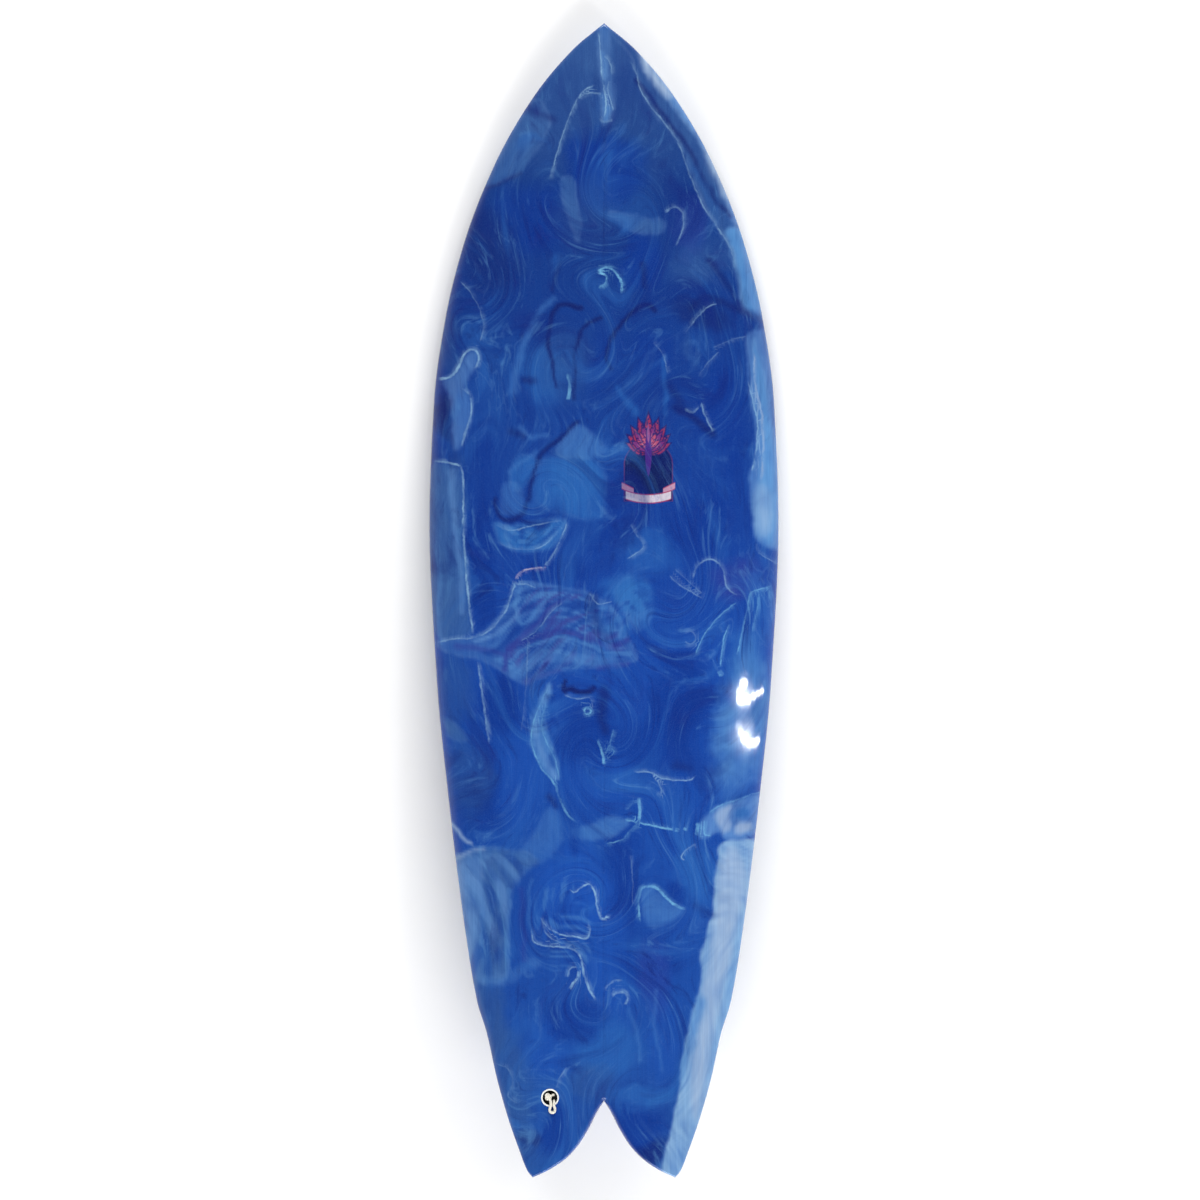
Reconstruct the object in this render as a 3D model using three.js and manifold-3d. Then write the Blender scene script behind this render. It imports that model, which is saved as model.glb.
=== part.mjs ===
// A twin-keel fish surfboard, 5'8" long, lying deck up on its fin tips and its forward belly.
// Millimetres. The board is drawn level in its own frame: +X to starboard, +Y to the nose from the tail tips,
// +Z up from the lowest point of the bottom rocker. The outermost group then sets it down on the floor.
import * as THREE from "three";
import { mergeVertices } from "three/addons/utils/BufferGeometryUtils.js";
import Module from "manifold-3d";

const wasm = await Module();
wasm.setup();

// ---------------------------------------------------------------- driving dimensions

const LENGTH = 1727;
const WIDE_POINT = 262.5; // half the full width
const NOTCH_APEX = 114; // how far the swallow cut reaches up from the tail tips
const TIP_X = 107; // tail tip to centreline
const SWALLOW_EDGE_RADIUS = 7;
const ROCKER_LOW_Y = 820;
const NOSE_ROCKER = 114;
const TAIL_ROCKER = 44;

// Half-width against distance from the tail tips: a soft hip ends the tail, and the wide point is forward of centre.
const OUTLINE = [
  [0, TIP_X],
  [10, 115],
  [40, 127],
  [90, 144.5],
  [150, 161.5],
  [215, 176],
  [264, 191],
  [385, 211],
  [565, 233.5],
  [745, 251.5],
  [980, WIDE_POINT],
  [1165, 255.5],
  [1285, 239],
  [1400, 210.5],
  [1520, 163],
  [1620, 104.5],
  [1690, 45],
  [LENGTH, 0],
];
// The inner edge of a tail lobe: distance from the tail tips against distance from the centreline.
const SWALLOW = [
  [0, NOTCH_APEX],
  [10.5, 97],
  [24, 70.5],
  [42, 43.5],
  [61, 25],
  [80, 12.5],
  [95, 5],
  [TIP_X, 0],
];
// Thickness on the centreline against distance from the tail tips.
const FOIL = [
  [0, 13],
  [115, 25],
  [305, 41],
  [600, 57],
  [900, 63.5],
  [1200, 58],
  [1420, 42],
  [1600, 25],
  [1700, 13],
  [LENGTH, 8],
];

// Layers of the skin, as depths below the outer surface, with the clearance that keeps the pieces apart.
const CLEARANCE = 0.3;
const GLOSS = 0.5; // gloss coat
const LAMINATE_TOP = GLOSS + CLEARANCE;
const LAMINATE_BASE = 2.0; // where one laminate lies straight on the foam
const LAP_OUTER_BASE = 1.25; // underside of the deck cloth where it laps over the bottom cloth
const LAP_INNER_TOP = LAP_OUTER_BASE + CLEARANCE;
const FOAM_TOP = LAMINATE_BASE + CLEARANCE;
const LAP_WIDTH = 55;
const STRINGER_WIDTH = 5;
const DECAL_TOP = GLOSS + 0.08;
const DECAL_BASE = LAMINATE_TOP - 0.08;

const DECAL = { x: 66.5, y: 1080, halfWidth: 42.5, halfHeight: 74 };

const PLUG = {
  x: -81,
  y: 120,
  ringRadius: 13.4,
  openRadius: 11,
  cupRadius: 12.4,
  ringHeight: 1.8,
  proud: 0.4,
  depth: 16,
  cupFloor: 2,
  pinRadius: 2,
  pinDepth: 7.4,
};
const CORD_RADIUS = 2;

const FIN = {
  x: 121,
  y: 262,
  toeIn: 1.9, // degrees
  cant: 6, // degrees, tips outboard
  base: 190,
  height: 130,
  thickness: 7.5,
  tipShare: 0.3, // thickness at the tip against the base
  outerShare: 0.62, // how much of the thickness is on the outboard face
};
const BOX = { forward: 38, length: 144, width: 17, depth: 21, slotLength: 115.5, slotWidth: 7, slotDepth: 18.6 };
const TAB = { length: 114.4, width: 6.4, height: 18, chamfer: 5 };
const SCREW = { radius: 2.5, length: 8, mouth: 65, tilt: 25, sunk: 1.2, socketRadius: 1.45, socketDepth: 2.5 };

const STATIONS_TAIL = 5;
const STATIONS_BODY = 15;
const LINES = 6; // grid lines from the centreline to a rail
const ROUND = 32; // sides of a round piece
const FAR = 400; // reach of a cutting block past the board

// ---------------------------------------------------------------- materials

function plastic(colour, roughness) {
  return new THREE.MeshStandardMaterial({ color: colour, roughness, metalness: 0 });
}
const foamWhite = plastic(0xf0ead8, 0.85);
const basswood = plastic(0xc9a26b, 0.6);
const blueLaminate = plastic(0x1c4aa8, 0.3);
const paleLaminate = plastic(0x5f93cf, 0.3);
const clearGloss = plastic(0x2f62b8, 0.08);
const decalInk = plastic(0xc8506a, 0.3);
const plugWhite = plastic(0xf2f2ee, 0.35);
const plugBlack = plastic(0x101114, 0.5);
const boxBlack = plastic(0x16181c, 0.45);
const cordWhite = plastic(0xd9d6c6, 0.9);
const finFibreglass = plastic(0x8c6a3e, 0.2);
const stainless = new THREE.MeshStandardMaterial({ color: 0xc3c6c8, roughness: 0.25, metalness: 1 });

// ---------------------------------------------------------------- numbers along the board

// A smooth curve through [position, value] pairs that never overshoots between two of them.
function through(points) {
  const n = points.length;
  const slope = points.slice(1).map((p, i) => (p[1] - points[i][1]) / (p[0] - points[i][0]));
  const tangent = points.map((p, i) => {
    if (i === 0) return slope[0];
    if (i === n - 1) return slope[n - 2];
    return slope[i - 1] * slope[i] <= 0 ? 0 : (2 * slope[i - 1] * slope[i]) / (slope[i - 1] + slope[i]);
  });
  return (at) => {
    const found = points.findIndex((p) => at < p[0]);
    const i = Math.max(0, (found < 0 ? n - 1 : found) - 1);
    const [x0, y0] = points[i];
    const [x1, y1] = points[i + 1];
    const h = x1 - x0;
    const t = (at - x0) / h;
    if (t < 0) return y0 + slope[0] * (at - x0);
    if (t > 1) return y1 + slope[n - 2] * (at - x1);
    const a = (1 + 2 * t) * (1 - t) ** 2;
    const b = t * (1 - t) ** 2;
    return a * y0 + b * h * tangent[i] + (1 - a) * y1 - t ** 2 * (1 - t) * h * tangent[i + 1];
  };
}
const halfWidth = through(OUTLINE);
const swallowEdge = through(SWALLOW);
const thickness = through(FOIL);
const mix = THREE.MathUtils.lerp;
const ease = THREE.MathUtils.smoothstep;

function rocker(y) {
  if (y < ROCKER_LOW_Y) return TAIL_ROCKER * (1 - y / ROCKER_LOW_Y) ** 2.2;
  return NOSE_ROCKER * ((y - ROCKER_LOW_Y) / (LENGTH - ROCKER_LOW_Y)) ** 2.4;
}

// How far the section has changed from the tail's, low and hard railed, to the body's: 0 to 1.
function bodied(y) {
  return ease(y, 100, 700);
}

// The rail's widest line: low at the tail, just under half the thickness forward of it.
function railHeight(y) {
  return rocker(y) + thickness(y) * mix(0.3, 0.42, bodied(y));
}

function slopeOf(f, at) {
  return f(at + 0.5) - f(at - 0.5);
}

// Where a falling function reaches a value, by halving.
function solve(f, value, low, high) {
  for (let i = 0; i < 50; i++) {
    const middle = (low + high) / 2;
    if (f(middle) > value) low = middle;
    else high = middle;
  }
  return (low + high) / 2;
}

// ---------------------------------------------------------------- the hull at a depth below its outer surface

// Plan edges and end points of the board after its whole surface has moved inwards by depth.
function planAt(depth) {
  const outer = (y) => halfWidth(y) - depth * Math.hypot(1, slopeOf(halfWidth, y));
  const swallow = (x) => swallowEdge(x) + depth * Math.hypot(1, slopeOf(swallowEdge, x));
  const inner = (y) => (y >= swallow(0) ? 0 : solve(swallow, y, 0, LENGTH));
  const noseY = solve(outer, 0, LENGTH / 2, LENGTH + FAR);
  const tailY = solve((y) => inner(y) - outer(y), 0, -FAR / 8, NOTCH_APEX);
  return { outer, inner, swallow, noseY, tailY, notchY: swallow(0) };
}

// Height of the deck (side 1) or bottom (side -1) at a plan point.
function surfaceHeight(plan, depth, side, x, y) {
  const rail = railHeight(y);
  const full = side > 0 ? rocker(y) + thickness(y) - rail : rail - rocker(y);
  const power = side > 0 ? mix(3.6, 2.6, bodied(y)) : mix(8, 5, bodied(y));
  const across = Math.min(1, Math.abs(x) / Math.max(plan.outer(y), 1e-6));
  const foil = (1 - across ** power) ** (1 / power);
  const fromNotch = y > plan.notchY ? Math.hypot(x, y - plan.notchY) : Math.abs(x) - plan.inner(y);
  const edge = Math.sqrt(1 - (1 - Math.min(1, Math.max(0, fromNotch) / SWALLOW_EDGE_RADIUS)) ** 2);
  return rail + side * Math.max(full - depth, 0) * foil * edge;
}

function spaced(from, to, count, pull) {
  return Array.from({ length: count + 1 }, (_, i) => mix(from, to, pull(i / count)));
}
const towardsBothEnds = (t) => (1 - Math.cos(Math.PI * t)) / 2;
const towardsStart = (t) => t ** 1.6;
const towardsEnd = (t) => 1 - (1 - t) ** 2;

// The closed hull as one solid: four sheets (deck and bottom, port and starboard) that share their edges.
function hull(depth) {
  const plan = planAt(depth);
  const stations = [
    ...spaced(plan.tailY, plan.notchY, STATIONS_TAIL, towardsStart),
    ...spaced(plan.notchY + SWALLOW_EDGE_RADIUS, plan.noseY, STATIONS_BODY, (t) => mix(t, towardsBothEnds(t), 0.75)),
  ];
  const positions = [];
  const triangles = [];
  for (const side of [1, -1]) {
    for (const hand of [1, -1]) {
      const first = positions.length / 3;
      stations.forEach((y, j) => {
        const last = j === stations.length - 1;
        const outer = j === 0 ? plan.inner(y) : last ? 0 : plan.outer(y);
        const inner = plan.inner(y);
        const forward = ease(y, NOTCH_APEX, 3 * NOTCH_APEX);
        for (let i = 0; i <= LINES; i++) {
          const t = i / LINES;
          const x = mix(inner, outer, mix(towardsBothEnds(t), towardsEnd(t), forward));
          const edge = j === 0 || i === LINES || (i === 0 && y <= plan.notchY);
          const noseZ = railHeight(y) + side * (1 - t) * Math.max(thickness(y) / 2 - depth, 1);
          const z = edge ? railHeight(y) : last ? noseZ : surfaceHeight(plan, depth, side, x, y);
          positions.push(hand * x, y, z);
        }
      });
      for (let j = 0; j < stations.length - 1; j++) {
        for (let i = 0; i < LINES; i++) {
          const a = first + j * (LINES + 1) + i;
          const b = a + LINES + 1;
          const quad = [a, a + 1, b + 1, a, b + 1, b];
          if (side * hand < 0) quad.reverse();
          triangles.push(...quad);
        }
      }
    }
  }
  const geometry = new THREE.BufferGeometry();
  geometry.setAttribute("position", new THREE.Float32BufferAttribute(positions, 3));
  geometry.setIndex(triangles);
  return solidOf(geometry);
}

// ---------------------------------------------------------------- solids

// A geometry, placed by a matrix in the board's frame, as a solid that can be cut and joined.
function solidOf(geometry, matrix = new THREE.Matrix4()) {
  const bare = new THREE.BufferGeometry();
  bare.setAttribute("position", geometry.getAttribute("position").clone());
  if (geometry.index) bare.setIndex(geometry.index.clone());
  const merged = mergeVertices(bare.applyMatrix4(matrix), 1e-4);
  const index = merged.index.array;
  const kept = [];
  for (let i = 0; i < index.length; i += 3) {
    const [a, b, c] = index.slice(i, i + 3);
    if (a !== b && b !== c && c !== a) kept.push(a, b, c);
  }
  const vertProperties = merged.attributes.position.array;
  return new wasm.Manifold(new wasm.Mesh({ numProp: 3, vertProperties, triVerts: new Uint32Array(kept) }));
}

function geometryOf(solid) {
  const made = solid.getMesh();
  const geometry = new THREE.BufferGeometry();
  geometry.setAttribute("position", new THREE.Float32BufferAttribute(made.vertProperties, 3));
  geometry.setIndex(new THREE.BufferAttribute(made.triVerts, 1));
  geometry.computeVertexNormals();
  return geometry;
}

function meshOf(solid, name, material) {
  const mesh = new THREE.Mesh(geometryOf(solid), material);
  mesh.name = name;
  return mesh;
}

function extruded(shape, depth) {
  return new THREE.ExtrudeGeometry(shape, { depth, bevelEnabled: false, curveSegments: 12 });
}

function polygon(points) {
  return new THREE.Shape(points.map(([x, y]) => new THREE.Vector2(x, y)));
}

// An upright block with the given plan outline, taller than the board.
function tower(points) {
  return solidOf(extruded(polygon(points), 2 * FAR), new THREE.Matrix4().makeTranslation(0, 0, -FAR / 2));
}

function halfBoard(hand, from) {
  return tower([
    [hand * from, -FAR],
    [hand * FAR, -FAR],
    [hand * FAR, LENGTH + FAR],
    [hand * from, LENGTH + FAR],
  ]);
}

// Everything above (side 1) or below (side -1) the rail line, less half a clearance.
function besideRailLine(side) {
  const line = spaced(-FAR / 4, LENGTH + FAR / 4, 18, (t) => t).map((y) => [
    y,
    railHeight(THREE.MathUtils.clamp(y, 0, LENGTH)) + (side * CLEARANCE) / 2,
  ]);
  const profile = polygon([...line, [LENGTH + FAR / 4, side * FAR], [-FAR / 4, side * FAR]]);
  const onSide = new THREE.Matrix4().makeBasis(
    new THREE.Vector3(0, 1, 0),
    new THREE.Vector3(0, 0, 1),
    new THREE.Vector3(1, 0, 0),
  );
  return solidOf(extruded(profile, 2 * FAR), onSide.setPosition(-FAR, 0, 0));
}

// The part of the plan inside the lap line, where only one laminate lies on the foam.
function insideLapLine(grow) {
  const tailEnd = NOTCH_APEX + LAP_WIDTH - grow;
  const width = (y) => halfWidth(y) - LAP_WIDTH + grow;
  const noseEnd = solve(width, 0, LENGTH / 2, LENGTH);
  const starboard = spaced(tailEnd, noseEnd, 12, (t) => t).map((y) => [Math.max(0, width(y)), y]);
  const port = starboard
    .slice(0, -1)
    .reverse()
    .map(([x, y]) => [-x, y]);
  return tower([...starboard, ...port]);
}

// ---------------------------------------------------------------- places on the board

const outerPlan = planAt(0);
const deckHeight = (x, y) => surfaceHeight(outerPlan, 0, 1, x, y);
const bottomHeight = (x, y) => surfaceHeight(outerPlan, 0, -1, x, y);

// A frame on a surface: Z along the outward normal, Y as near the nose as the surface allows.
function surfaceFrame(height, x, y, side) {
  const alongX = new THREE.Vector3(1, 0, height(x + 0.5, y) - height(x - 0.5, y));
  const alongY = new THREE.Vector3(0, 1, height(x, y + 0.5) - height(x, y - 0.5)).normalize();
  const normal = alongX.cross(alongY).normalize().multiplyScalar(side);
  const across = new THREE.Vector3().crossVectors(alongY, normal);
  return new THREE.Matrix4().makeBasis(across, alongY, normal).setPosition(x, y, height(x, y));
}

const plugFrame = surfaceFrame(deckHeight, PLUG.x, PLUG.y, 1);

// A fin's frame: origin on the bottom, Y along its base to the nose, Z out of the board, canted and toed in.
function finFrame(hand) {
  const turn = new THREE.Euler(0, 0, 0, "ZYX");
  turn.z = hand * THREE.MathUtils.degToRad(FIN.toeIn) * -1;
  turn.y = -hand * THREE.MathUtils.degToRad(FIN.cant);
  const flat = surfaceFrame(bottomHeight, hand * FIN.x, FIN.y, -1);
  return flat.multiply(new THREE.Matrix4().makeRotationFromEuler(turn));
}

// The frame of a fin's box and tab, which sit under the front of the fin's base so that the screw is clear of it.
function boxFrame(hand) {
  return finFrame(hand).multiply(new THREE.Matrix4().makeTranslation(0, BOX.forward, 0));
}

// ---------------------------------------------------------------- leash plug

function lathed(profile, sides = ROUND) {
  const upright = new THREE.Matrix4().makeRotationX(Math.PI / 2);
  const points = profile.map(([r, z]) => new THREE.Vector2(r, z));
  return new THREE.LatheGeometry(points, sides).applyMatrix4(upright);
}

function rod(radius, from, to, sides = ROUND) {
  return lathed(
    [
      [0, from],
      [radius, from],
      [radius, to],
      [0, to],
    ],
    sides,
  );
}

function plugHole() {
  const ring = rod(PLUG.ringRadius + CLEARANCE, PLUG.proud - PLUG.ringHeight - CLEARANCE, FAR / 8);
  const cup = rod(PLUG.cupRadius + CLEARANCE, -PLUG.depth - CLEARANCE, FAR / 8);
  return solidOf(ring, plugFrame).add(solidOf(cup, plugFrame));
}

function plugRing() {
  const lip = 0.5;
  const under = PLUG.proud - PLUG.ringHeight;
  return lathed([
    [PLUG.openRadius, under],
    [PLUG.ringRadius, under],
    [PLUG.ringRadius, PLUG.proud - lip],
    [PLUG.ringRadius - lip, PLUG.proud],
    [PLUG.openRadius + lip, PLUG.proud],
    [PLUG.openRadius, PLUG.proud - lip],
    [PLUG.openRadius, under],
  ]);
}

function plugCup() {
  const top = PLUG.proud - PLUG.ringHeight - CLEARANCE;
  const floor = -PLUG.depth + PLUG.cupFloor;
  const edge = 1;
  const corner = 3;
  const pinFit = 0.05;
  const body = solidOf(
    lathed([
      [0, -PLUG.depth],
      [PLUG.cupRadius - edge, -PLUG.depth],
      [PLUG.cupRadius, -PLUG.depth + edge],
      [PLUG.cupRadius, top],
      [PLUG.openRadius, top],
      [PLUG.openRadius, floor + corner],
      [PLUG.openRadius - corner, floor],
      [0, floor],
    ]),
  );
  return geometryOf(body.subtract(solidOf(pinRod(PLUG.pinRadius + pinFit, FAR / 8))));
}

function pinRod(radius, halfLength) {
  const acrossCup = new THREE.Matrix4().makeRotationY(Math.PI / 2).setPosition(0, 0, -PLUG.pinDepth);
  return rod(radius, -halfLength, halfLength, 20).applyMatrix4(acrossCup);
}

// ---------------------------------------------------------------- leash string

// One knotted loop, in the plug's frame: down beside the knot, under the pin, out over the ring,
// round its eye on the deck and back into the knot.
const KNOT = { x: -2.8, y: 1.6, z: 0.4, radius: 6.5, height: 4.6 };
const LEASH_ROUTE = [
  [2.6, 3.4, -1.2],
  [5.2, 4.4, -4.2],
  [5.9, 4.2, -7.4],
  [5.9, 3.0, -10.4],
  [5.9, 0, -11.6],
  [5.9, -3.0, -10.4],
  [5.9, -4.3, -7.4],
  [5.9, -5.4, -2.6],
  [5.9, -7.6, 1.6],
  [6.0, -10.8, 3.1],
  [6.9, -14.2, 3.0],
  [7.6, -17.6, 2.5],
  [6.6, -20.9, 2.4],
  [3.6, -22.3, 2.4],
  [0.6, -20.9, 2.4],
  [-0.4, -17.6, 2.5],
  [0.4, -14.2, 3.0],
  [1.2, -10.8, 3.1],
  [1.2, -7.6, 2.6],
  [0.6, -4.0, 1.6],
  [-1.4, -0.6, 0.8],
];

function leashString() {
  const points = LEASH_ROUTE.map((p) => new THREE.Vector3(...p));
  const route = new THREE.CatmullRomCurve3(points, false, "centripetal");
  const section = new THREE.Shape();
  section.absarc(0, 0, CORD_RADIUS, 0, 2 * Math.PI);
  const cord = new THREE.ExtrudeGeometry(section, { steps: 40, extrudePath: route, curveSegments: 5 });
  return geometryOf(solidOf(cord).add(solidOf(leashKnot())));
}

// The knot's outer shape: a ball slightly flattened, drawn as a lathe profile from pole to pole.
function leashKnot() {
  const steps = 8;
  const profile = spaced(-Math.PI / 2, Math.PI / 2, steps, (t) => t).map((a) => [
    KNOT.radius * Math.cos(a),
    KNOT.height * Math.sin(a),
  ]);
  profile[0][0] = 0;
  profile[steps][0] = 0;
  return lathed(profile, 16).translate(KNOT.x, KNOT.y, KNOT.z);
}

// ---------------------------------------------------------------- fins and fin boxes, in a fin's frame

// The keel's edges against height: long base, raked leading edge, trailing edge that hollows above the base.
const KEEL_LEADING = through([
  [0, FIN.base / 2],
  [25, 78],
  [60, 45],
  [95, -4],
  [115, -40],
  [126, -68],
  [FIN.height, -88],
]);
const KEEL_TRAILING = through([
  [0, -FIN.base / 2],
  [20, -83],
  [50, -79],
  [85, -87],
  [110, -98],
  [124, -103],
  [FIN.height, -98],
]);

// The blade as a lofted foil: rows up the fin, each a closed loop round the chord.
function keelBlade(flatSide) {
  const rows = spaced(-4, FIN.height, 12, (t) => 1 - (1 - t) ** 1.5);
  const around = 9;
  const positions = [];
  const triangles = [];
  const width = 2 * around;
  rows.forEach((z) => {
    const front = KEEL_LEADING(Math.max(z, 0));
    const back = KEEL_TRAILING(Math.max(z, 0));
    const most = FIN.thickness * mix(1, FIN.tipShare, Math.max(z, 0) / FIN.height);
    for (let i = 0; i < width; i++) {
      const outside = i <= around;
      const share = outside ? i / around : (width - i) / around;
      const along = towardsBothEnds(share);
      const foil = most * Math.sqrt(Math.sin(Math.PI * along ** 0.75)) * 0.93;
      const off = outside ? foil * FIN.outerShare : -foil * (1 - FIN.outerShare);
      positions.push(flatSide * -(off + 0.001), mix(front, back, along), z);
    }
  });
  for (let j = 0; j < rows.length - 1; j++) {
    for (let i = 0; i < width; i++) {
      const a = j * width + i;
      const b = j * width + ((i + 1) % width);
      triangles.push(a, b, b + width, a, b + width, a + width);
    }
  }
  const cap = (start, flip) => {
    for (let i = 1; i < width - 1; i++) {
      triangles.push(...(flip ? [start, start + i + 1, start + i] : [start, start + i, start + i + 1]));
    }
  };
  cap(0, true);
  cap((rows.length - 1) * width, false);
  if (flatSide < 0) triangles.reverse();
  const geometry = new THREE.BufferGeometry();
  geometry.setAttribute("position", new THREE.Float32BufferAttribute(positions, 3));
  geometry.setIndex(triangles);
  return geometry;
}

// The tab that slides into the box, its front lower corner cut back for the screw.
function keelTab() {
  const half = TAB.length / 2;
  const profile = polygon([
    [-half, 2],
    [-half, -TAB.height],
    [half - TAB.chamfer, -TAB.height],
    [half, -TAB.height + 2 * TAB.chamfer],
    [half, 2],
  ]);
  const upright = new THREE.Matrix4().makeBasis(
    new THREE.Vector3(0, 1, 0),
    new THREE.Vector3(0, 0, 1),
    new THREE.Vector3(1, 0, 0),
  );
  return extruded(profile, TAB.width).applyMatrix4(upright.setPosition(-TAB.width / 2, 0, 0));
}

function stadium(length, width) {
  const shape = new THREE.Shape();
  const reach = (length - width) / 2;
  shape.absarc(0, reach, width / 2, 0, Math.PI);
  shape.absarc(0, -reach, width / 2, Math.PI, 2 * Math.PI);
  return shape;
}

function boxBlock(grow) {
  const rise = 6; // past the bottom surface, to be cut flush with it
  const geometry = extruded(stadium(BOX.length + 2 * grow, BOX.width + 2 * grow), BOX.depth + grow + rise);
  return geometry.translate(0, 0, -BOX.depth - grow);
}

function screwPlace() {
  const lean = THREE.MathUtils.degToRad(SCREW.tilt);
  return new THREE.Matrix4().makeRotationX(-lean).setPosition(0, SCREW.mouth, 0);
}

function screwBore() {
  return rod(SCREW.radius + CLEARANCE, -SCREW.sunk - SCREW.length - CLEARANCE, FAR / 16, 20).applyMatrix4(screwPlace());
}

function grubScrew(frame) {
  const place = frame.clone().multiply(screwPlace());
  const top = -SCREW.sunk;
  const point = 0.8;
  const edge = 0.3;
  const profile = [
    [0, top - SCREW.length],
    [SCREW.radius - point, top - SCREW.length],
    [SCREW.radius, top - SCREW.length + point],
    [SCREW.radius, top - edge],
    [SCREW.radius - edge, top],
    [0, top],
  ];
  const socket = rod(SCREW.socketRadius, top - SCREW.socketDepth, top + 1, 6);
  return solidOf(lathed(profile, 20), place).subtract(solidOf(socket, place));
}

function slotBlock() {
  const lift = 8;
  const geometry = new THREE.BoxGeometry(BOX.slotWidth, BOX.slotLength, BOX.slotDepth + lift);
  return geometry.translate(0, 0, (lift - BOX.slotDepth) / 2);
}

// ---------------------------------------------------------------- assembly

const outerHull = hull(0);
const glossUnder = hull(GLOSS);
const laminateTop = hull(LAMINATE_TOP);
const laminateBase = hull(LAMINATE_BASE);
const foamCore = hull(FOAM_TOP);
const hullWithGap = hull(-CLEARANCE);

const above = besideRailLine(1);
const below = besideRailLine(-1);
const insideLap = insideLapLine(0);
const insideLapGrown = insideLapLine(CLEARANCE);
const openedPlug = plugHole();
const finHoles = [-1, 1]
  .map((hand) => solidOf(boxBlock(CLEARANCE), boxFrame(hand)))
  .reduce((a, b) => a.add(b));

const gloss = outerHull.subtract(glossUnder);
const deckGloss = gloss.intersect(above).subtract(openedPlug);
const bottomGloss = gloss.intersect(below).subtract(finHoles);

// Each laminate is thick inside its lap line and half as thick where the two overlap round the rails.
const wholeSkin = laminateTop.subtract(laminateBase);
const outerLap = laminateTop.subtract(hull(LAP_OUTER_BASE));
const innerLap = hull(LAP_INNER_TOP).subtract(laminateBase);
const deckLaminate = wholeSkin
  .intersect(insideLap)
  .intersect(above)
  .add(outerLap.subtract(insideLapGrown.intersect(below)))
  .subtract(openedPlug)
  .subtract(finHoles);
const bottomLaminate = wholeSkin
  .intersect(insideLap)
  .intersect(below)
  .add(innerLap.subtract(insideLapGrown.intersect(above)))
  .subtract(openedPlug)
  .subtract(finHoles);

const decalPatch = hull(DECAL_TOP)
  .subtract(hull(DECAL_BASE))
  .intersect(above)
  .intersect(
    tower([
      [DECAL.x - DECAL.halfWidth, DECAL.y - DECAL.halfHeight],
      [DECAL.x + DECAL.halfWidth, DECAL.y - DECAL.halfHeight],
      [DECAL.x + DECAL.halfWidth, DECAL.y + DECAL.halfHeight],
      [DECAL.x - DECAL.halfWidth, DECAL.y + DECAL.halfHeight],
    ]),
  );

const board = new THREE.Group();
const cordPieces = new THREE.Group();
board.add(cordPieces);

const halfStringer = STRINGER_WIDTH / 2;
const besideStringer = halfBoard(-1, halfStringer).add(halfBoard(1, halfStringer));
board.add(meshOf(foamCore.subtract(besideStringer), "stringer", basswood));
for (const [hand, side] of [
  [-1, "left"],
  [1, "right"],
]) {
  const foam = foamCore.intersect(halfBoard(hand, halfStringer + CLEARANCE));
  board.add(meshOf(foam.subtract(finHoles).subtract(openedPlug), `foam_blank_${side}`, foamWhite));
}
board.add(meshOf(bottomLaminate, "bottom_laminate", paleLaminate));
board.add(meshOf(deckLaminate, "deck_laminate", blueLaminate));
board.add(meshOf(bottomGloss, "bottom_gloss_coat", clearGloss));
board.add(meshOf(deckGloss, "deck_gloss_coat", clearGloss));
board.add(meshOf(decalPatch, "deck_decal", decalInk));

function placed(geometry, name, material, matrix, parent = board) {
  const mesh = new THREE.Mesh(geometry, material);
  mesh.name = name;
  mesh.applyMatrix4(matrix);
  parent.add(mesh);
  return mesh;
}
placed(plugRing(), "leash_plug_ring", plugWhite, plugFrame);
placed(plugCup(), "leash_plug_cup", plugBlack, plugFrame);
placed(pinRod(PLUG.pinRadius, PLUG.cupRadius - 0.2), "leash_plug_pin", stainless, plugFrame);
placed(leashString(), "leash_string", cordWhite, plugFrame, cordPieces);

for (const [hand, side] of [
  [-1, "left"],
  [1, "right"],
]) {
  const frame = boxFrame(hand);
  const holes = solidOf(slotBlock(), frame).add(solidOf(screwBore(), frame));
  const box = solidOf(boxBlock(0), frame).intersect(outerHull).subtract(holes);
  board.add(meshOf(box, `fin_box_${side}`, boxBlack));
  const blade = solidOf(keelBlade(hand), finFrame(hand)).subtract(hullWithGap);
  board.add(meshOf(blade.add(solidOf(keelTab(), frame)), `keel_fin_${side}`, finFibreglass));
  board.add(meshOf(grubScrew(frame), `fin_screw_${side}`, stainless));
}

// Sets the board down: it pitches nose-down until it rests on its fin tips and the bottom forward of them.
function restPitch(group) {
  const low = { y: 0, z: Infinity };
  const bottom = [];
  group.traverse((mesh) => {
    if (!mesh.isMesh) return;
    const points = mesh.geometry.getAttribute("position");
    const point = new THREE.Vector3();
    for (let i = 0; i < points.count; i++) {
      point.fromBufferAttribute(points, i).applyMatrix4(mesh.matrix);
      if (mesh.name.startsWith("keel_fin") && point.z < low.z) Object.assign(low, { y: point.y, z: point.z });
      if (mesh.name === "bottom_gloss_coat") bottom.push({ y: point.y, z: point.z });
    }
  });
  const slopes = bottom.filter((p) => p.y > low.y + LENGTH / 4).map((p) => (p.z - low.z) / (p.y - low.y));
  return Math.atan(Math.min(...slopes));
}
board.rotation.x = -restPitch(board);
board.remove(cordPieces);
const extent = new THREE.Box3().setFromObject(board, true);
board.add(cordPieces);
board.position.set(0, -(extent.min.y + extent.max.y) / 2, -extent.min.z);

const surfboard = new THREE.Group();
surfboard.add(board);

export default surfboard;
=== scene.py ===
"""The looks of a twin-keel fish surfboard with a marbled resin tint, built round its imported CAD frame.

Board millimetres are the board's own level frame: +X to starboard, +Y to the nose from the tail tips, +Z up
from the bottom's lowest point. Pieces are made there, and TO_ROW sets them down as the CAD board lies.
"""

import math

import bpy
import bmesh
import numpy as np
from mathutils import Matrix, Vector, noise


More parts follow.
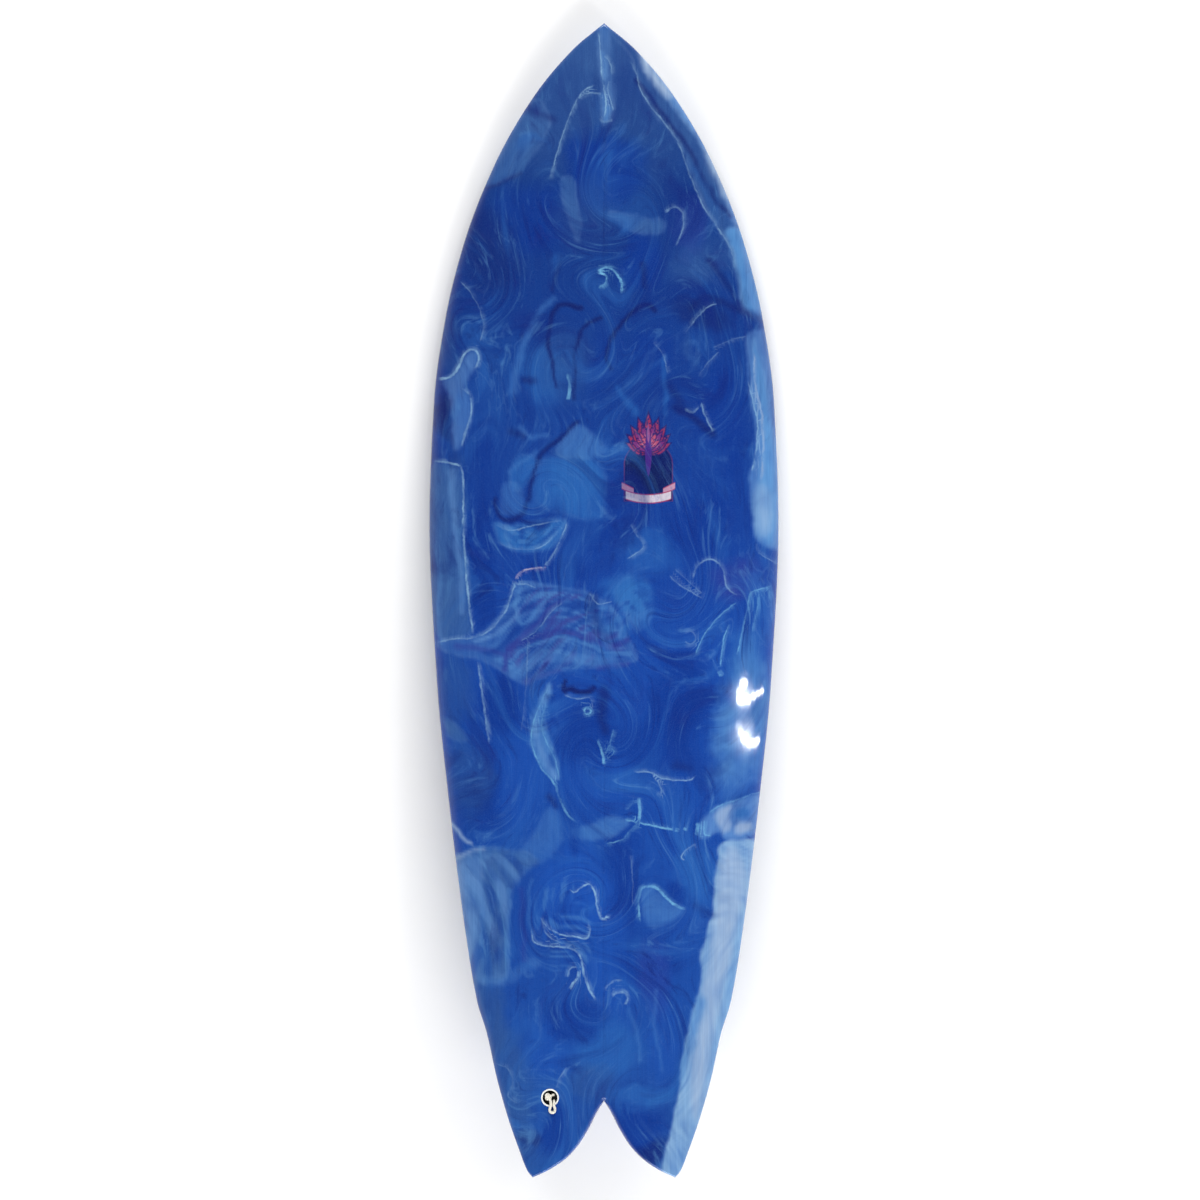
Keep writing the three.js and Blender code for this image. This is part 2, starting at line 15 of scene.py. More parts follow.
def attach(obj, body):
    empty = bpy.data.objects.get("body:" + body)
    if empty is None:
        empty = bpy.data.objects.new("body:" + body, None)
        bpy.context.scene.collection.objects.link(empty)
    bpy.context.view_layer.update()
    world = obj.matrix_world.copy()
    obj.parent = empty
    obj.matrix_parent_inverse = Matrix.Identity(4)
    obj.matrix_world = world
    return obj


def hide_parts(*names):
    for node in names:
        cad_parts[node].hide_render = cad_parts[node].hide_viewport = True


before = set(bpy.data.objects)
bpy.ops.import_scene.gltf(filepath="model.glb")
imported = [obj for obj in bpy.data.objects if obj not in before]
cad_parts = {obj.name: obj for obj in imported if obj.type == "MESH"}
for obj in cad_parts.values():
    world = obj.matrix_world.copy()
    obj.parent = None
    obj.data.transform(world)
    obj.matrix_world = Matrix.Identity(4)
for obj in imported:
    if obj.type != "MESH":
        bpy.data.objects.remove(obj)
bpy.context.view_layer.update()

# ---------------------------------------------------------------- the board's own frame

MM = 0.001
REST_PITCH = math.radians(-6.4404)
REST_PLACE = Vector((0, -0.867506, 0.121316))
BOARD = Matrix.Translation(REST_PLACE) @ Matrix.Rotation(REST_PITCH, 4, "X")
TO_ROW = BOARD @ Matrix.Scale(MM, 4)

LENGTH = 1727
NOTCH_APEX = 114
TIP_X = 107
SWALLOW_EDGE_RADIUS = 7
NOSE_RADIUS = 12
ROCKER_LOW_Y = 820
NOSE_ROCKER = 114
TAIL_ROCKER = 44
NOSE_ROCKER_POWER = 2.4
TAIL_ROCKER_POWER = 2.2
# These pairs go from the tail's section to the middle's, over this stretch of the board.
TAIL_TO_MIDDLE = (100, 700)
RAIL_SHARE = (0.3, 0.42)  # how far up the thickness the rail lies
DECK_POWER = (3.6, 2.6)  # how square the section is
BOTTOM_POWER = (8.0, 5.0)
SWALLOW_SAMPLES = 400
OUTLINE = [
    (0, TIP_X), (10, 115), (40, 127), (90, 144.5), (150, 161.5), (215, 176), (264, 191), (385, 211),
    (565, 233.5), (745, 251.5), (980, 262.5), (1165, 255.5), (1285, 239), (1400, 210.5), (1520, 163),
    (1620, 104.5), (1690, 45), (LENGTH, 0),
]
SWALLOW = [(0, NOTCH_APEX), (10.5, 97), (24, 70.5), (42, 43.5), (61, 25), (80, 12.5), (95, 5), (TIP_X, 0)]
FOIL = [
    (0, 13), (115, 25), (305, 41), (600, 57), (900, 63.5), (1200, 58), (1420, 42), (1600, 25), (1700, 13),
    (LENGTH, 8),
]


def through(points):
    """A smooth curve through (position, value) points that never overshoots between two of them."""
    at, value = np.array(points, float).T
    slope = np.diff(value) / np.diff(at)
    tangent = np.concatenate(([slope[0]], np.zeros(len(at) - 2), [slope[-1]]))
    same = slope[:-1] * slope[1:] > 0
    tangent[1:-1][same] = 2 * slope[:-1][same] * slope[1:][same] / (slope[:-1] + slope[1:])[same]

    def curve(x):
        x = np.clip(x, at[0], at[-1])
        i = np.clip(np.searchsorted(at, x, side="right") - 1, 0, len(at) - 2)
        h = at[i + 1] - at[i]
        t = (x - at[i]) / h
        a = (1 + 2 * t) * (1 - t) ** 2
        rise = t * (1 - t) ** 2 * tangent[i] - t**2 * (1 - t) * tangent[i + 1]
        return a * value[i] + (1 - a) * value[i + 1] + h * rise

    return curve


def ease(x, low, high):
    t = np.clip((x - low) / (high - low), 0, 1)
    return t * t * (3 - 2 * t)


def mix(a, b, t):
    return a + (b - a) * t


half_width = through(OUTLINE)
swallow_edge = through(SWALLOW)
thickness = through(FOIL)
SWALLOW_X = np.linspace(TIP_X, 0, SWALLOW_SAMPLES)
SWALLOW_Y = swallow_edge(SWALLOW_X)


def inner_edge(y):
    return np.where(y >= NOTCH_APEX, 0, np.interp(y, SWALLOW_Y, SWALLOW_X))


def rocker(y):
    tail = TAIL_ROCKER * np.clip(1 - y / ROCKER_LOW_Y, 0, 1) ** TAIL_ROCKER_POWER
    ahead = np.clip((y - ROCKER_LOW_Y) / (LENGTH - ROCKER_LOW_Y), 0, 1)
    nose = NOSE_ROCKER * ahead**NOSE_ROCKER_POWER
    return tail + nose


def rail_height(y):
    return rocker(y) + thickness(y) * mix(*RAIL_SHARE, ease(y, *TAIL_TO_MIDDLE))


def rounding(distance, radius):
    """How much of the full height is reached at a distance from an edge with that radius."""
    return np.sqrt(1 - (1 - np.clip(distance / radius, 0, 1)) ** 2)


def surface(side, x, y):
    """Height of the deck (side 1) or the bottom (side -1) over a plan point."""
    rail = rail_height(y)
    full = rocker(y) + thickness(y) - rail if side > 0 else rail - rocker(y)
    power = mix(*(DECK_POWER if side > 0 else BOTTOM_POWER), ease(y, *TAIL_TO_MIDDLE))
    across = np.clip(np.abs(x) / np.maximum(half_width(y), 1e-6), 0, 1)
    foil = (1 - across**power) ** (1 / power)
    from_apex = np.hypot(x, y - NOTCH_APEX)
    from_edge = np.where(y > NOTCH_APEX, from_apex, np.abs(x) - inner_edge(y))
    height = side * full * foil * rounding(from_edge, SWALLOW_EDGE_RADIUS)
    return rail + height * rounding(LENGTH - y, NOSE_RADIUS)


def surface_frame(side, x, y):
    """A frame on the surface: Z outwards, Y as near the nose as the surface allows."""
    rise_x = float(surface(side, x + 0.5, y) - surface(side, x - 0.5, y))
    rise_y = float(surface(side, x, y + 0.5) - surface(side, x, y - 0.5))
    along_y = Vector((0, 1, rise_y)).normalized()
    normal = Vector((1, 0, rise_x)).cross(along_y).normalized() * side
    basis = Matrix((along_y.cross(normal), along_y, normal)).transposed().to_4x4()
    return Matrix.Translation((x, y, float(surface(side, x, y)))) @ basis


# ---------------------------------------------------------------- small makers


def in_scene(name, data):
    obj = bpy.data.objects.new(name, data)
    bpy.context.scene.collection.objects.link(obj)
    return obj


def new_object(name, verts, faces):
    mesh = bpy.data.meshes.new(name)
    mesh.from_pydata([tuple(v) for v in verts], [], faces)
    mesh.validate()
    return in_scene(name, mesh)


def outwards(obj):
    """Turns every face outwards."""
    bm = bmesh.new()
    bm.from_mesh(obj.data)
    bmesh.ops.recalc_face_normals(bm, faces=bm.faces)
    bm.to_mesh(obj.data)
    bm.free()
    return obj


def finish_piece(obj, material, matrix, body="board", hides=(), sharp=40):
    obj.data.transform(TO_ROW @ matrix)
    obj.data.shade_smooth()
    obj.data.set_sharp_from_angle(angle=math.radians(sharp))
    obj.data.materials.clear()
    obj.data.materials.append(material)
    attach(obj, body)
    if hides:
        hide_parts(*hides)
    return obj


def lathe(name, profile, sides=96):
    """A closed body of revolution about Z from (radius, height) points; a radius of 0 is on the axis."""
    verts, rings, faces = [], [], []
    for radius, height in profile:
        if radius == 0:
            rings.append([len(verts)] * sides)
            verts.append((0, 0, height))
            continue
        rings.append(list(range(len(verts), len(verts) + sides)))
        for k in range(sides):
            turn = math.tau * k / sides
            verts.append((radius * math.cos(turn), radius * math.sin(turn), height))
    closed = profile[0][0] > 0
    pairs = list(zip(rings, rings[1:])) + ([(rings[-1], rings[0])] if closed else [])
    for low, high in pairs:
        for k in range(sides):
            face = [low[k], low[(k + 1) % sides], high[(k + 1) % sides], high[k]]
            face = [v for i, v in enumerate(face) if v != face[i - 1]]
            if len(face) > 2:
                faces.append(face)
    return outwards(new_object(name, verts, faces))


def round_corners(points, radius, steps=4):
    """A closed profile with each corner rounded."""
    out = []
    count = len(points)
    for i, corner in enumerate(points):
        here = Vector(corner)
        back = Vector(points[i - 1]) - here
        on = Vector(points[(i + 1) % count]) - here
        r = min(radius, back.length / 2.2, on.length / 2.2)
        start, end = here + back.normalized() * r, here + on.normalized() * r
        for k in range(steps + 1):
            t = k / steps
            out.append(tuple((1 - t) ** 2 * start + 2 * t * (1 - t) * here + t * t * end))
    return out


def spline(points, spacing):
    """Points every spacing along a Catmull-Rom curve through the given ones."""
    p = np.array(points, float)
    p = np.vstack((2 * p[0] - p[1], p, 2 * p[-1] - p[-2]))
    fine = []
    for i in range(1, len(p) - 2):
        t = np.linspace(0, 1, 24, endpoint=False)[:, None]
        fine.append(
            0.5 * (
                2 * p[i] + (p[i + 1] - p[i - 1]) * t
                + (2 * p[i - 1] - 5 * p[i] + 4 * p[i + 1] - p[i + 2]) * t**2
                + (3 * p[i] - p[i - 1] - 3 * p[i + 1] + p[i + 2]) * t**3
            )
        )
    fine = np.vstack(fine + [p[-2:-1]])
    run = np.concatenate(([0], np.cumsum(np.linalg.norm(np.diff(fine, axis=0), axis=1))))
    at = np.linspace(0, run[-1], max(2, round(run[-1] / spacing) + 1))
    return np.stack([np.interp(at, run, fine[:, k]) for k in range(p.shape[1])], axis=1)


def combine(obj, other, operation):
    """Unites two closed pieces, or takes the other's volume out of the first."""
    modifier = obj.modifiers.new("combine", "BOOLEAN")
    modifier.operation = operation
    modifier.solver = "MANIFOLD"
    modifier.object = other
    evaluated = obj.evaluated_get(bpy.context.evaluated_depsgraph_get())
    made = bpy.data.meshes.new_from_object(evaluated)
    obj.modifiers.clear()
    obj.data = made
    bpy.data.objects.remove(other)


def attribute(obj, name, values, kind="FLOAT_VECTOR"):
    values = np.asarray(values, np.float32)
    layer = obj.data.attributes.new(name, kind, "POINT")
    field = {"FLOAT": "value", "FLOAT_COLOR": "color"}.get(kind, "vector")
    layer.data.foreach_set(field, values.ravel())


def vertex_array(obj):
    co = np.zeros(len(obj.data.vertices) * 3, np.float32)
    obj.data.vertices.foreach_get("co", co)
    return co.reshape(-1, 3).astype(float)


def linear(rgb):
    """sRGB 0-255 to linear."""
    c = np.asarray(rgb, float) / 255
    return np.where(c <= 0.04045, c / 12.92, ((c + 0.055) / 1.055) ** 2.4)


PAINT_GAIN = 0.80
PAINT_VEIL = 0.0035
PAINT_LEAST = 0.0015


def albedo(rgb):
    """The reflectance that looks like an sRGB colour under this studio's light and the gloss coat's veil."""
    return np.maximum(PAINT_GAIN * linear(rgb) - PAINT_VEIL, PAINT_LEAST)


# ---------------------------------------------------------------- camera

PHOTO_CENTRE = Vector((-6.0, 866.5, 60))  # board millimetres
PHOTO_SPAN = 1799  # millimetres of board plane across the frame
CAMERA_DISTANCE = 12.0
SENSOR = 36


def photo_camera():
    data = bpy.data.cameras.new("photo camera")
    data.sensor_width = SENSOR
    data.lens = SENSOR * CAMERA_DISTANCE / (PHOTO_SPAN * MM)
    camera = in_scene("photo camera", data)
    target = TO_ROW @ PHOTO_CENTRE
    camera.matrix_world = Matrix.Translation(target) @ Matrix.Rotation(REST_PITCH, 4, "X")
    camera.matrix_world = camera.matrix_world @ Matrix.Translation((0, 0, CAMERA_DISTANCE))
    bpy.context.scene.camera = camera


photo_camera()

# ---------------------------------------------------------------- leash string

PLUG_PLACE = (-81, 120)
PLUG = surface_frame(1, *PLUG_PLACE)
RING_RADIUS = 13.4
RING_OPEN_RADIUS = 11
RING_TOP = 0.4
RING_HEIGHT = 1.8
CUP_RADIUS = 12.4
CUP_DEPTH = 16
CUP_FLOOR = 2
PIN_RADIUS = 2
PIN_DEPTH = 7.4
CORD_RADIUS = 2
KNOT_PLACE = (-2.8, 1.6, 0.4)
# The string leaves the pin, comes up over the ring, makes its loop on the deck and goes back to the knot.
LEASH_ROUTE = [
    (2.6, 3.4, -1.2), (5.2, 4.4, -4.2), (5.9, 4.2, -7.4), (5.9, 3.0, -10.4), (5.9, 0, -11.6),
    (5.9, -3.0, -10.4), (5.9, -4.3, -7.4), (5.9, -5.4, -2.6), (5.9, -7.6, 1.6), (6.0, -10.8, 3.1),
    (6.9, -14.2, 3.0), (7.6, -17.6, 2.5), (6.6, -20.9, 2.4), (3.6, -22.3, 2.4), (0.6, -20.9, 2.4),
    (-0.4, -17.6, 2.5), (0.4, -14.2, 3.0), (1.2, -10.8, 3.1), (1.2, -7.6, 2.6), (0.6, -4.0, 1.6),
    (-1.4, -0.6, 0.8),
]
BRAID_STRANDS = 8
BRAID_PITCH = 5.2
BRAID_RELIEF = 0.2
BLUNTNESS = 0.05  # how square a cut end of the cord stays, from 0 for a dome
LEASH_SPACING = 0.4
KNOT_POINTS = 220
KNOT_RADIUS = 2.3
KNOT_LOBE = 1.5
KNOT_STRETCH = 1.05
KNOT_RISE = 1.2
KNOT_SQUEEZE = 0.9


def braided_tube(name, path, radius, closed=False, sides=32):
    """A cord along a path, with the strands of its braid standing proud in turn."""
    path = np.array(path)
    ahead = np.roll(path, -1, axis=0) - np.roll(path, 1, axis=0) if closed else np.gradient(path, axis=0)
    ahead /= np.linalg.norm(ahead, axis=1)[:, None]
    run = np.concatenate(([0], np.cumsum(np.linalg.norm(np.diff(path, axis=0), axis=1))))
    side = Vector(ahead[0]).orthogonal().normalized()
    turn = np.linspace(0, math.tau, sides, endpoint=False)
    verts = []
    for centre, heading, s in zip(path, ahead, run):
        heading = Vector(heading)
        side = (side - heading * side.dot(heading)).normalized()
        up = heading.cross(side)
        phase = math.tau * s / BRAID_PITCH
        strands = BRAID_STRANDS / 4 * turn
        over = np.maximum(np.abs(np.sin(strands + phase)), np.abs(np.sin(strands - phase)))
        reach = radius - BRAID_RELIEF + BRAID_RELIEF * over
        end = 0 if closed else min(s, run[-1] - s)
        if not closed and end < radius:
            reach = reach * math.sqrt(max(BLUNTNESS, 1 - (1 - end / radius) ** 2))
        ring = np.outer(reach * np.cos(turn), side) + np.outer(reach * np.sin(turn), up)
        verts.extend(ring + centre)
    rings = len(path)
    faces = []
    for r in range(rings if closed else rings - 1):
        for k in range(sides):
            a, b = r * sides + k, r * sides + (k + 1) % sides
            step = ((r + 1) % rings - r) * sides
            faces.append([a, b, b + step, a + step])
    if not closed:
        faces += [list(range(sides)), list(range((rings - 1) * sides, rings * sides))]
    return outwards(new_object(name, verts, faces))


def knot_path():
    """An overhand knot pulled tight, about its own middle."""
    turn = np.linspace(0, math.tau, KNOT_POINTS, endpoint=False)
    ring = KNOT_RADIUS + KNOT_LOBE * np.cos(3 * turn)
    return np.stack([
        KNOT_PLACE[0] + ring * np.cos(2 * turn) * KNOT_STRETCH,
        KNOT_PLACE[1] + ring * np.sin(2 * turn) * KNOT_STRETCH,
        KNOT_PLACE[2] + KNOT_RISE * np.sin(3 * turn),
    ], axis=1)


def leash(material):
    path = spline(LEASH_ROUTE, LEASH_SPACING)
    braid = braided_tube("leash_string_braid", path, CORD_RADIUS)
    string = finish_piece(braid, material, PLUG, hides=["leash_string"], sharp=80)
    tied = braided_tube("leash_knot", knot_path(), CORD_RADIUS * KNOT_SQUEEZE, closed=True)
    knot = finish_piece(tied, material, PLUG, sharp=80)


# ---------------------------------------------------------------- materials


class Nodes:
    """A material's nodes, with short calls that add one and give its output."""

    def __init__(self, name):
        self.material = bpy.data.materials.new(name)
        self.material.use_nodes = True
        self.tree = self.material.node_tree
        self.shader = self.tree.nodes["Principled BSDF"]

    def add(self, kind, inputs=None, **settings):
        node = self.tree.nodes.new(kind)
        for key, value in settings.items():
            setattr(node, key, value)
        for key, value in (inputs or {}).items():
            self.put(node.inputs[key], value)
        return node

    def put(self, socket, value):
        if isinstance(value, bpy.types.NodeSocket):
            self.tree.links.new(value, socket)
        elif socket.type == "RGBA" and len(value) == 3:
            socket.default_value = (*value, 1)
        else:
            socket.default_value = value

    def math(self, operation, a, b=0.0, c=0.0, clamp=False):
        return self.add("ShaderNodeMath", {0: a, 1: b, 2: c}, operation=operation, use_clamp=clamp).outputs[0]

    def mix(self, amount, a, b, blend="MIX"):
        node = self.add("ShaderNodeMix", data_type="RGBA", blend_type=blend)
        for key, value in ((0, amount), (6, a), (7, b)):
            self.put(node.inputs[key], value)
        return node.outputs[2]

    def ramp(self, amount, low, high, from_value=0.0, to_value=1.0):
        inputs = {"Value": amount, "From Min": low, "From Max": high}
        inputs.update({"To Min": from_value, "To Max": to_value})
        return self.add("ShaderNodeMapRange", inputs, interpolation_type="SMOOTHSTEP").outputs[0]

    def place(self, scale=(1, 1, 1), vector=None):
        """The object's own coordinates in board or row millimetres, stretched."""
        if vector is None:
            vector = self.add("ShaderNodeTexCoord").outputs["Object"]
            scale = tuple(1000 * s for s in scale)
        return self.add("ShaderNodeVectorMath", {0: vector, 1: scale}, operation="MULTIPLY").outputs[0]

    def noise(self, vector, scale, detail=2.0, roughness=0.5, distortion=0.0):
        inputs = {"Vector": vector, "Scale": scale, "Detail": detail, "Roughness": roughness}
        inputs["Distortion"] = distortion
        return self.add("ShaderNodeTexNoise", inputs).outputs["Fac"]

    def attribute(self, name, output="Color"):
        return self.add("ShaderNodeAttribute", attribute_name=name).outputs[output]

    def bump(self, height, strength, distance):
        node = self.add("ShaderNodeBump", {"Strength": strength, "Distance": distance, "Height": height})
        self.put(self.shader.inputs["Normal"], node.outputs[0])
        return node.outputs[0]

    def surface(self, **sockets):
        for key, value in sockets.items():
            self.put(self.shader.inputs[key.replace("_", " ")], value)
        return self.material


def resin_tint(name):
    """Marbled resin under a polished gloss coat: painted colours with streaks, threads and glass weave.

    The noises' scales are in lumps per millimetre, those along the flow being far longer than they are wide.
    """
    n = Nodes(name)
    flow = n.attribute("flow", "Vector")
    strength = n.add("ShaderNodeSeparateXYZ", {0: flow}).outputs[2]
    place = n.place()
    smoke = n.noise(n.place((0.014, 0.0055, 0), flow), 1.0, 4.0, 0.52, 1.0)
    wisp = n.noise(n.place((0.06, 0.012, 0), flow), 1.0, 5.0, 0.6, 1.2)
    thread = n.noise(n.place((0.011, 0.004, 0), flow), 1.0, 3.0, 0.5, 2.0)
    calm = n.ramp(n.noise(n.place((0.007, 0.007, 0), place), 1.0, 2.0), 0.38, 0.62, 0.35, 1.0)
    calm = n.math("MULTIPLY", calm, strength)
    weave = n.noise(n.place((0.45, 0.012, 0.02), place), 1.0, 3.0, 0.6)
    grain = n.noise(place, 1.1, 2.0, 0.6)

    colour = n.attribute("paint")
    for streak, faint, full, most, tint in (
        (smoke, 0.50, 0.68, 0.52, (50, 108, 188)),
        (smoke, 0.48, 0.30, 0.62, (11, 36, 120)),
        (wisp, 0.53, 0.76, 0.38, (98, 156, 212)),
        (wisp, 0.46, 0.28, 0.50, (14, 28, 108)),
    ):
        amount = n.math("MULTIPLY", n.ramp(streak, faint, full, 0, most), calm)
        colour = n.mix(amount, colour, albedo(tint))
    vein = n.math("ABSOLUTE", n.math("SUBTRACT", thread, 0.5))
    vein_tint = n.mix(n.ramp(smoke, 0.45, 0.55), albedo((46, 34, 122)), albedo((104, 158, 214)))
    colour = n.mix(n.math("MULTIPLY", n.ramp(vein, 0.022, 0.0, 0, 0.11), calm), colour, vein_tint)
    line = n.add("ShaderNodeSeparateXYZ", {0: n.attribute("line", "Vector")})
    wobble = n.math("MULTIPLY", n.math("SUBTRACT", n.noise(place, 0.09, 5.0, 0.65), 0.5), 5.5)
    off = n.math("ADD", line.outputs[0], wobble)
    inside = n.math("ADD", n.math("SUBTRACT", line.outputs[1], n.math("ABSOLUTE", off)), 0.8)
    broken = n.ramp(n.noise(place, 0.05, 5.0, 0.75), 0.30, 0.55, 0.15, 1.0)
    feather = n.math("MULTIPLY", n.ramp(off, 8.0, 0.0, 0, 0.40), n.ramp(off, -3.0, 0.5))
    swell = n.ramp(n.noise(place, 0.035, 3.0, 0.6), 0.35, 0.65, 0.35, 1.0)
    core = n.math("MULTIPLY", n.ramp(inside, 0.0, 2.0, 0, 1.0), swell)
    core = n.math("MAXIMUM", core, n.math("MULTIPLY", feather, n.ramp(wisp, 0.35, 0.62)))
    mask = n.math("MULTIPLY", n.math("MULTIPLY", core, line.outputs[2]), broken)
    colour = n.mix(mask, colour, n.attribute("line_tint"))
    colour = n.mix(n.ramp(weave, 0.35, 0.65, 0.0, 0.11), colour, albedo((10, 34, 110)))
    colour = n.mix(n.ramp(grain, 0.4, 0.7, 0.0, 0.08), colour, albedo((120, 160, 220)))
    n.bump(n.noise(n.place((0.03, 0.012, 0.03), place), 1.0, 3.0, 0.5), 0.10, 0.0006)
    roughness = n.ramp(grain, 0.3, 0.7, 0.30, 0.38)
    return n.surface(
        Base_Color=colour, Roughness=roughness, Specular_IOR_Level=0.0, Coat_Weight=1.0,
        Coat_Roughness=0.04, Coat_IOR=1.5,
    )


def foam():
    n = Nodes("polyurethane foam")
    place = n.place()
    pores = n.add("ShaderNodeTexVoronoi", {"Vector": place, "Scale": 1.4}).outputs["Distance"]
    patch = n.noise(place, 0.02, 3.0)
    colour = n.mix(n.ramp(patch, 0.35, 0.7), linear((243, 240, 228)), linear((230, 222, 200)))
    colour = n.mix(n.ramp(pores, 0.25, 0.05, 0, 0.35), colour, linear((206, 196, 172)))
    n.bump(pores, 0.4, 0.0003)
    return n.surface(Base_Color=colour, Roughness=n.ramp(patch, 0.3, 0.7, 0.85, 0.95))


def stringer_wood():
    n = Nodes("basswood")
    place = n.place((1.0, 0.025, 1.0))
    rings = n.noise(place, 0.35, 5.0, 0.6, 1.0)
    pores = n.noise(n.place((3.0, 0.12, 3.0)), 1.0, 2.0)
    colour = n.mix(n.ramp(rings, 0.35, 0.65), linear((206, 174, 122)), linear((170, 130, 80)))
    colour = n.mix(n.ramp(pores, 0.6, 0.75, 0, 0.5), colour, linear((120, 84, 48)))
    n.bump(rings, 0.25, 0.0003)
    return n.surface(Base_Color=colour, Roughness=n.ramp(rings, 0.3, 0.7, 0.5, 0.65))


def moulded_plastic(name, light, dark, shine):
    n = Nodes(name)
    place = n.place()
    spark = n.noise(place, 2.2, 3.0, 0.7)
    wear = n.noise(place, 0.22, 4.0, 0.65)
    colour = n.mix(n.ramp(wear, 0.4, 0.7), linear(light), linear(dark))
    n.bump(spark, 0.25, 0.00012)
    return n.surface(Base_Color=colour, Roughness=n.ramp(wear, 0.3, 0.7, shine, shine + 0.14))


def stainless():
    n = Nodes("brushed stainless")
    turned = n.noise(n.place((0.4, 0.4, 6.0)), 1.0, 3.0, 0.6)
    colour = n.mix(n.ramp(turned, 0.3, 0.7), linear((200, 202, 204)), linear((158, 160, 164)))
    n.bump(turned, 0.2, 0.00008)
    return n.surface(Base_Color=colour, Metallic=1.0, Roughness=n.ramp(turned, 0.3, 0.7, 0.24, 0.4))


def braided_nylon():
    n = Nodes("braided nylon")
    place = n.place()
    fibre = n.noise(n.place((5.0, 5.0, 5.0)), 1.0, 2.0)
    soil = n.noise(place, 0.25, 4.0, 0.6)
    colour = n.mix(n.ramp(soil, 0.45, 0.75), linear((226, 221, 208)), linear((196, 190, 174)))
    colour = n.mix(n.ramp(fibre, 0.5, 0.3, 0, 0.3), colour, linear((160, 152, 138)))
    n.bump(fibre, 0.5, 0.0002)
    return n.surface(Base_Color=colour, Roughness=n.ramp(soil, 0.3, 0.7, 0.6, 0.75), Sheen_Weight=0.2)


def fin_laminate():
    """Solid glass laminate, sanded through its plies so each shows as a contour line."""
    n = Nodes("solid glass laminate")
    place = n.place()
    depth = n.attribute("ply", "Fac")
    shift = n.math("MULTIPLY", n.math("SUBTRACT", n.noise(place, 0.035, 3.0), 0.5), 0.8)
    ply = n.math("FRACT", n.math("ADD", n.math("MULTIPLY", depth, 2.6), shift))
    edge = n.ramp(n.math("ABSOLUTE", n.math("SUBTRACT", ply, 0.5)), 0.36, 0.5)
    cloth = n.add("ShaderNodeTexWave", {"Vector": n.place((0.5, 0.5, 0.5)), "Scale": 1.0}).outputs["Fac"]
    cloud = n.noise(place, 0.02, 4.0, 0.6, 1.0)
    colour = n.mix(n.ramp(cloud, 0.3, 0.7), linear((28, 66, 140)), linear((44, 96, 168)))
    colour = n.mix(n.math("MULTIPLY", edge, 0.55), colour, linear((120, 168, 208)))
    colour = n.mix(n.ramp(cloth, 0.2, 0.8, 0, 0.10), colour, linear((16, 36, 88)))
    n.bump(edge, 0.12, 0.0002)
    return n.surface(
        Base_Color=colour, Roughness=n.ramp(cloud, 0.3, 0.7, 0.26, 0.36), Coat_Weight=1.0,
        Coat_Roughness=0.06, Coat_IOR=1.5,
    )


# ---------------------------------------------------------------- marbling

PALETTE = {
    "steel": (52, 88, 150), "deep": (18, 56, 146), "ink": (20, 28, 95), "cyan": (50, 112, 188),
    "purple": (50, 62, 150), "frost": (138, 178, 218), "bright": (30, 82, 178), "slate": (64, 104, 164),
    "pale": (102, 148, 207), "haze": (165, 187, 217), "sky": (98, 158, 216), "mist": (82, 134, 198),
    "fold": (56, 100, 176), "plum": (58, 64, 148), "white": (152, 196, 230), "glow": (128, 198, 238),
    "rose": (175, 170, 200),
}
# The plain tint under it all, by how far up the board it is.
GROUND = [
    (0, (38, 82, 158)), (200, (30, 76, 162)), (560, (27, 74, 165)), (790, (26, 72, 165)),
    (1010, (24, 64, 152)), (1310, (23, 60, 140)), (1540, (25, 58, 130)), (1660, (38, 72, 140)),
    (LENGTH, (50, 86, 150)),
]
